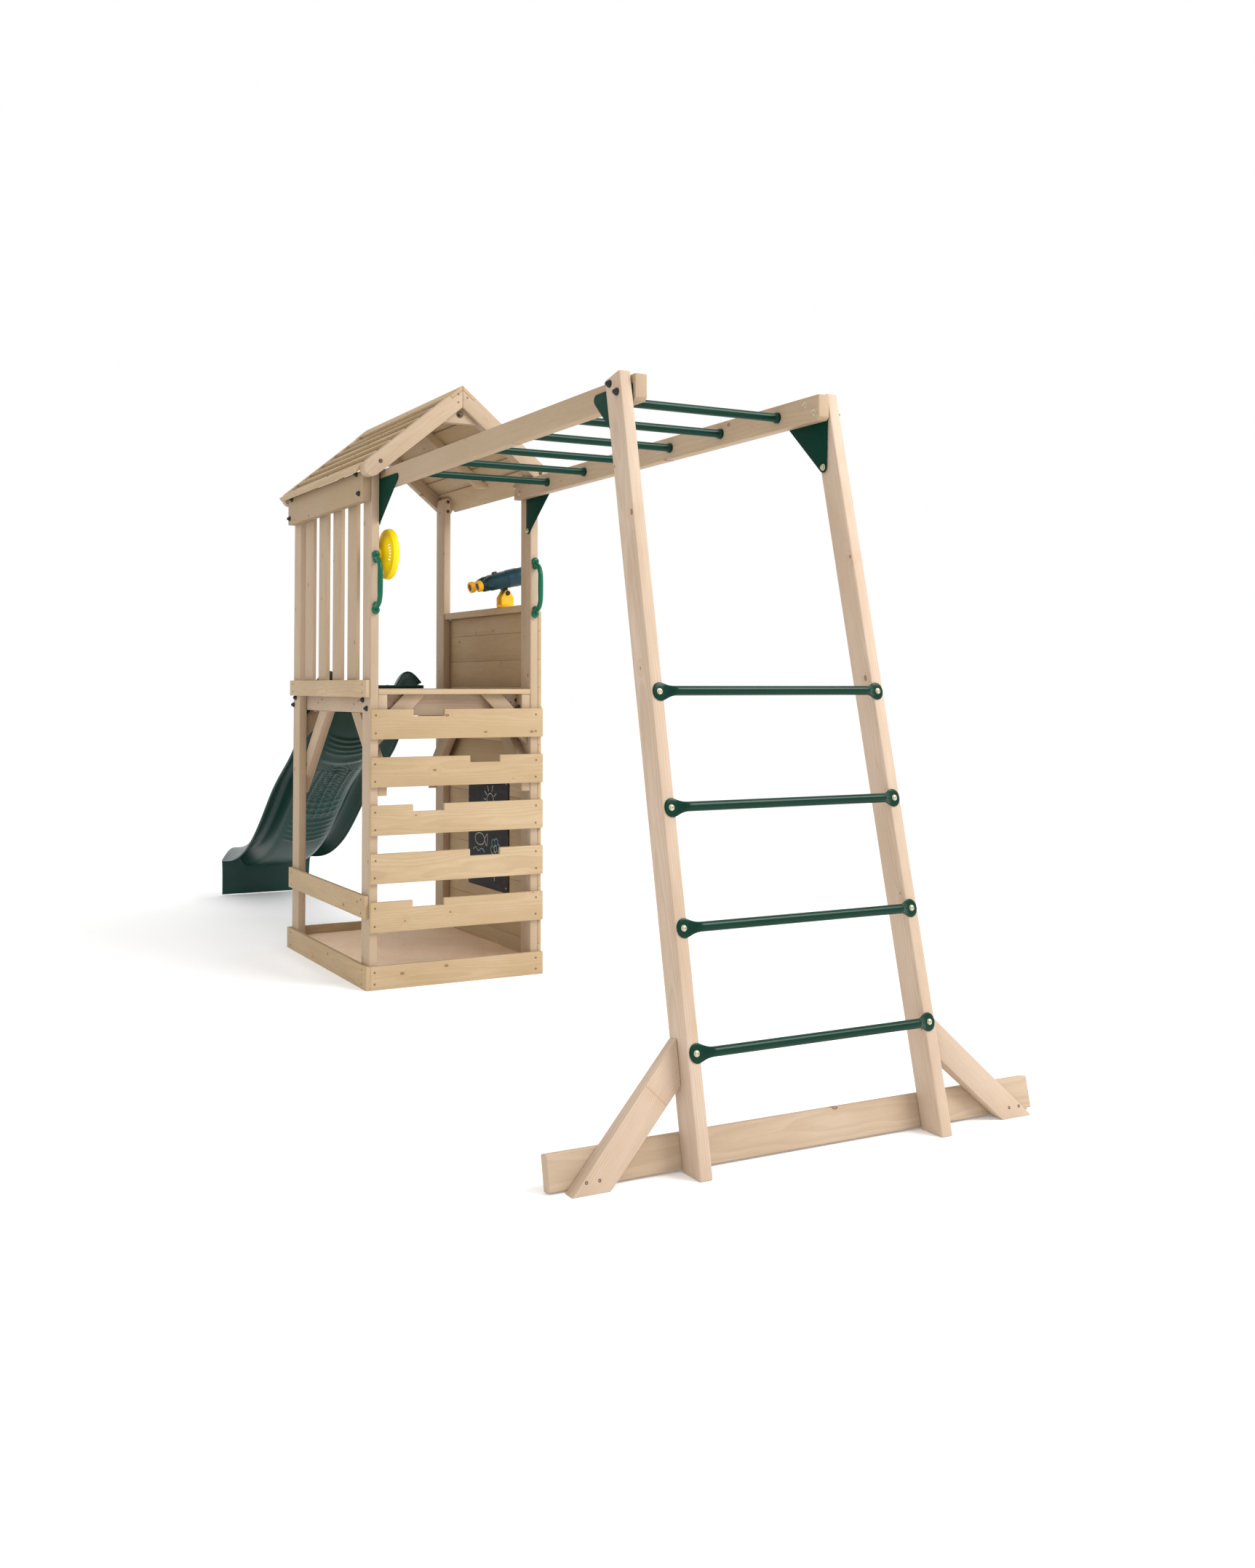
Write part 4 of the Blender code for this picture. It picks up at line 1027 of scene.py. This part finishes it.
def slide():
    """Moulded chute: smooth on top, ribbed and gridded underneath, rolled side rims, skirt at the foot."""
    node = "slide"
    heights = [0.72, 0.76, 0.84, 0.93] + [1.0] * (len(SLIDE_BED) - 4)
    stations = smooth_path([(x, z, h) for (x, z), h in zip(SLIDE_BED, heights)], 18)
    section = [(0.008 * k, 0.0) for k in range(14)] + smooth_path(SLIDE_WALL, 4)
    section = mirror(section[1:]) + section
    travel = [0.0]
    for one, two in zip(stations[:-1], stations[1:]):
        travel.append(travel[-1] + math.hypot(two[0] - one[0], two[1] - one[1]))

    # the CAD bed is the underside of the chute; the running surface lies one sheet above it
    under = [[spot(x, y, z + WALL_HEIGHT * h * part) for y, part in section] for x, z, h in stations]
    last = under[-1]
    for x, squeeze, drop in SLIDE_SKIRT:
        under.append([spot(x, p.y * squeeze, p.z + (SLIDE_FOOT - p.z) * drop) for p in last])
    rows, cols = len(under), len(section)

    def normal(i, j):
        along = under[min(i + 1, rows - 1)][j] - under[max(i - 1, 0)][j]
        across = under[i][min(j + 1, cols - 1)] - under[i][max(j - 1, 0)]
        return across.cross(along).normalized()

    bm = bmesh.new()
    lower, upper = [], []
    for i in range(rows):
        low_line, up_line = [], []
        for j in range(cols):
            p, out = under[i][j], normal(i, j)
            rib = relief(travel[i], p.y) if i < len(stations) else 0.0
            low_line.append(bm.verts.new(p - out * rib))
            up_line.append(bm.verts.new(p + out * SHEET))
        lower.append(low_line)
        upper.append(up_line)
    for i in range(rows - 1):
        for j in range(cols - 1):
            bm.faces.new((lower[i][j], lower[i + 1][j], lower[i + 1][j + 1], lower[i][j + 1]))
            bm.faces.new((upper[i][j], upper[i][j + 1], upper[i + 1][j + 1], upper[i + 1][j]))
        for j in (0, cols - 1):
            bm.faces.new((lower[i][j], upper[i][j], upper[i + 1][j], lower[i + 1][j]))
    for j in range(cols - 1):
        for i in (0, rows - 1):
            bm.faces.new((lower[i][j], lower[i][j + 1], upper[i][j + 1], upper[i][j]))
    new_piece("slide_chute", bm, SLIDE_PLASTIC, node, sharp=50.0)

    # rolled bead along both side rims
    for tag, j, out in (("left", 0, -Y), ("right", cols - 1, Y)):
        rings = []
        for i in range(0, len(stations), 5):
            along = (under[min(i + 1, rows - 1)][j] - under[max(i - 1, 0)][j]).normalized()
            side = along.cross(Y).normalized()
            centre = under[i][j] + normal(i, j) * (SHEET / 2.0) - out * 0.002
            rings.append([centre + (out * math.cos(t) + side * math.sin(t)) * 0.0052
                          for t in (2.0 * math.pi * k / 12 for k in range(12))])
        new_piece(f"slide_rim_{tag}", loft(rings), SLIDE_PLASTIC, node)

    # flange plate lying on the deck, round at both ends, with four screws
    flange_x, flange_z, flange_t = FRONT_X - 1.040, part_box("deck_floor")[1].z + GAP, 0.0155
    half = arc(0.225, 0.0, 0.045, -90.0, 90.0, 12)
    outline = [(flange_x + b * 0.80, a) for a, b in half + mirror(half)]
    plate = eased(prism(outline, "z", flange_z, flange_z + flange_t), 0.003, 3, 40.0)
    new_piece("slide_flange", plate, SLIDE_PLASTIC, node)
    screws = bmesh.new()
    for y in (-0.238, -0.080, 0.080, 0.238):
        turned([(-0.001, 0.0062), (0.0008, 0.0062), (0.0018, 0.0052), (0.0006, 0.0026), (0.0004, 0.0004)],
               (flange_x + 0.012, y, flange_z + flange_t), Z, 16, screws)
    new_piece("slide_flange_screws", screws, ZINC, node)


slide()


# ---- sand and chalkboard -----------------------------------------------------------------
def sand():
    """Raked sand surface, held in by the pit boards and cut out round the posts."""
    low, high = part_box("sand_bed")
    step, clear, bottom = 0.012, 0.0006, 0.001
    nx, ny = int((high.x - low.x) / step), int((high.y - low.y) / step)
    post_y = POST_T + clear
    post_x = POST_HIGH.x - POST_LOW.x + clear
    bm = bmesh.new()

    def place(i, j):
        return low.x + (high.x - low.x) * i / nx, low.y + (high.y - low.y) * j / ny

    def height(x, y):
        wave = 0.0030 * math.sin(7.0 * x + 3.0 * math.sin(5.0 * y)) + 0.0024 * math.sin(11.0 * y + 4.0 * x)
        sweep = 0.0016 * math.sin(58.0 * (y + 0.10 * math.sin(6.0 * x)) + 9.0 * x)
        return high.z - 0.006 + wave + sweep * (0.5 + 0.5 * math.sin(3.0 * x + 2.0 * y))

    grid = {}
    for i in range(nx + 1):
        for j in range(ny + 1):
            x, y = place(i, j)
            grid[i, j] = bm.verts.new((x, y, height(x, y)))
    for i in range(nx):
        for j in range(ny):
            x, y = place(i + 0.5, j + 0.5)
            if not (min(x - low.x, high.x - x) < post_x and high.y - abs(y) < post_y):
                bm.faces.new((grid[i, j], grid[i + 1, j], grid[i + 1, j + 1], grid[i, j + 1]))
    bmesh.ops.delete(bm, geom=[v for v in bm.verts if not v.link_faces], context="VERTS")
    rim = [e for e in bm.edges if e.is_boundary]
    for v in bmesh.ops.extrude_edge_only(bm, edges=rim)["geom"]:
        if isinstance(v, bmesh.types.BMVert):
            v.co.z = bottom
    bmesh.ops.contextual_create(bm, geom=[e for e in bm.edges if e.is_boundary])
    new_piece("sand_surface", bm, SAND, "sand_bed", sharp=60.0)


def chalkboard():
    """Panel held by four screws."""
    low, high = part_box("chalkboard")
    new_piece("chalk_panel", eased(box(low, high), 0.0016, 3), SLATE, "chalkboard")
    screws = bmesh.new()
    inset = 0.022
    for x in (low.x + inset, high.x - inset):
        for z in (low.z + inset, high.z - inset):
            turned([(-0.001, 0.0042), (0.0004, 0.0042), (0.0008, 0.0034), (0.0, 0.0016), (-0.0002, 0.0003)],
                   (x, low.y, z), -Y, 14, screws)
    new_piece("chalk_panel_screws", screws, ZINC)


def chalk_line(bm, face, points):
    """Crumbly chalk line through (x, z) points on the board's face."""
    fine = smooth_path(points, 5) if len(points) > 2 else points
    left, right = [], []
    for i, (x, z) in enumerate(fine):
        px, pz = fine[max(i - 1, 0)]
        nx, nz = fine[min(i + 1, len(fine) - 1)]
        way = Vector((nx - px, nz - pz)).normalized()
        w = 0.0042 * rng.uniform(0.36, 0.60)
        left.append((x - way.y * w, z + way.x * w))
        right.append((x + way.y * w, z - way.x * w))
    front = [bm.verts.new((x, face - 0.0005, z)) for x, z in left + list(reversed(right))]
    rear = [bm.verts.new((v.co.x, face + 0.0002, v.co.z)) for v in front]
    n, m = len(front), len(left)
    for a in range(m - 1):
        b = n - 1 - a
        bm.faces.new((front[a], front[a + 1], front[b - 1], front[b]))
        bm.faces.new((rear[a], rear[b], rear[b - 1], rear[a + 1]))
    for i in range(n):
        j = (i + 1) % n
        bm.faces.new((front[i], rear[i], rear[j], front[j]))


def chalk_drawing():
    """A sun, a flower and a fish."""
    low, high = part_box("chalkboard")
    white, blue = bmesh.new(), bmesh.new()

    def draw(bm, cx, cz, points):
        chalk_line(bm, low.y, [(cx + dx, cz + dz) for dx, dz in points])

    def ring(rx, rz, count=16, start=0.0, end=360.0):
        return [(rx * math.cos(turn), rz * math.sin(turn))
                for turn in (math.radians(start + (end - start) * i / count) for i in range(count + 1))]

    sun = (low.x + 0.245, high.z - 0.110)
    draw(white, *sun, ring(0.036, 0.034))
    for k in range(10):
        turn = math.radians(36.0 * k + rng.uniform(-6, 6))
        ends = (0.046, rng.uniform(0.066, 0.078))
        draw(white, *sun, [(r * math.cos(turn), r * math.sin(turn)) for r in ends])
    bloom_x, bloom_z = low.x + 0.300, low.z + 0.185
    draw(white, bloom_x, bloom_z, ring(0.014, 0.014, 10))
    for k in range(6):
        turn = math.radians(60.0 * k + 12.0)
        draw(blue, bloom_x + 0.032 * math.cos(turn), bloom_z + 0.032 * math.sin(turn), ring(0.017, 0.016, 9))
    draw(white, bloom_x, bloom_z, [(-0.004, -0.048), (-0.016, -0.090), (-0.010, -0.145)])
    draw(white, bloom_x, bloom_z, [(-0.014, -0.110), (0.020, -0.085), (0.040, -0.097)])
    fish = (low.x + 0.130, low.z + 0.215)
    draw(white, *fish, ring(0.052, 0.027, 16, 12.0, 348.0))
    draw(white, *fish, [(0.050, 0.0), (0.083, 0.028), (0.078, -0.026), (0.052, 0.0)])
    waves = [(-0.075, -0.055), (-0.045, -0.042), (-0.015, -0.056), (0.020, -0.042), (0.055, -0.056)]
    draw(blue, *fish, waves)
    new_piece("chalk_marks_white", white, CHALK_WHITE, smooth=False)
    new_piece("chalk_marks_blue", blue, CHALK_BLUE, smooth=False)


sand()
chalkboard()
chalk_drawing()


# ---- stage, light and camera ------------------------------------------------------
def stage():
    """Plain pale floor that fades into the white surroundings."""
    size = 60.0
    bm = bmesh.new()
    bm.faces.new([bm.verts.new((x, y, 0.0)) for x, y in rect(-size, size, -size, size)])
    mesh = bpy.data.meshes.new("floor")
    bm.to_mesh(mesh)
    bm.free()
    floor = bpy.data.objects.new("floor", mesh)
    COLLECTION.objects.link(floor)
    g = Graph("studio_floor")
    soft = g.noise(g.position(), 0.8)
    g.set(Base_Color=g.blend(soft, (0.90, 0.90, 0.90, 1.0), (0.92, 0.92, 0.92, 1.0)), Roughness=0.9,
          Emission_Color=(1.0, 1.0, 1.0, 1.0), Emission_Strength=0.14)
    mesh.materials.append(g.mat)


def lights():
    """White surroundings and one large soft key light."""
    world = bpy.data.worlds.new("studio")
    bpy.context.scene.world = world
    world.use_nodes = True
    background = world.node_tree.nodes["Background"]
    background.inputs["Color"].default_value = (1.0, 1.0, 1.0, 1.0)
    background.inputs["Strength"].default_value = 1.0

    key = bpy.data.lights.new("key", "AREA")
    key.shape = "RECTANGLE"
    key.size = key.size_y = 3.5
    key.energy = 430.0
    obj = bpy.data.objects.new("key", key)
    obj.location = (5.5, 3.5, 6.0)
    aim_at = Vector((0.0, 0.0, 1.0))
    obj.rotation_euler = (aim_at - obj.location).to_track_quat("-Z", "Y").to_euler()
    COLLECTION.objects.link(obj)


def camera():
    """Pinhole camera standing in front of the ladder, a little to its left."""
    image_w, image_h = 1725.0, 2156.0
    focal, centre_x, centre_y = 1971.27, 759.56, 870.13     # in the same unit as the image's sides
    data = bpy.data.cameras.new("camera")
    data.sensor_fit = "HORIZONTAL"
    data.sensor_width = 36.0
    data.lens = focal / image_w * data.sensor_width
    data.shift_x = (image_w / 2.0 - centre_x) / image_w
    data.shift_y = (centre_y - image_h / 2.0) / image_w
    data.clip_end = 200.0
    yaw, pitch, roll = math.radians(26.985), math.radians(2.080), math.radians(0.037)
    look = Vector((-math.cos(yaw) * math.cos(pitch), math.sin(yaw) * math.cos(pitch), math.sin(pitch)))
    right = look.cross(Z).normalized()
    up = right.cross(look)
    right, up = right * math.cos(roll) + up * math.sin(roll), up * math.cos(roll) - right * math.sin(roll)
    matrix = Matrix((right, up, -look)).transposed().to_4x4()
    matrix.translation = spot(5.4613, LEFT_Y - 1.9607, 1.2156)
    obj = bpy.data.objects.new("camera", data)
    obj.matrix_world = matrix
    COLLECTION.objects.link(obj)
    bpy.context.scene.camera = obj


stage()
lights()
camera()
bpy.context.scene.view_settings.view_transform = "Standard"
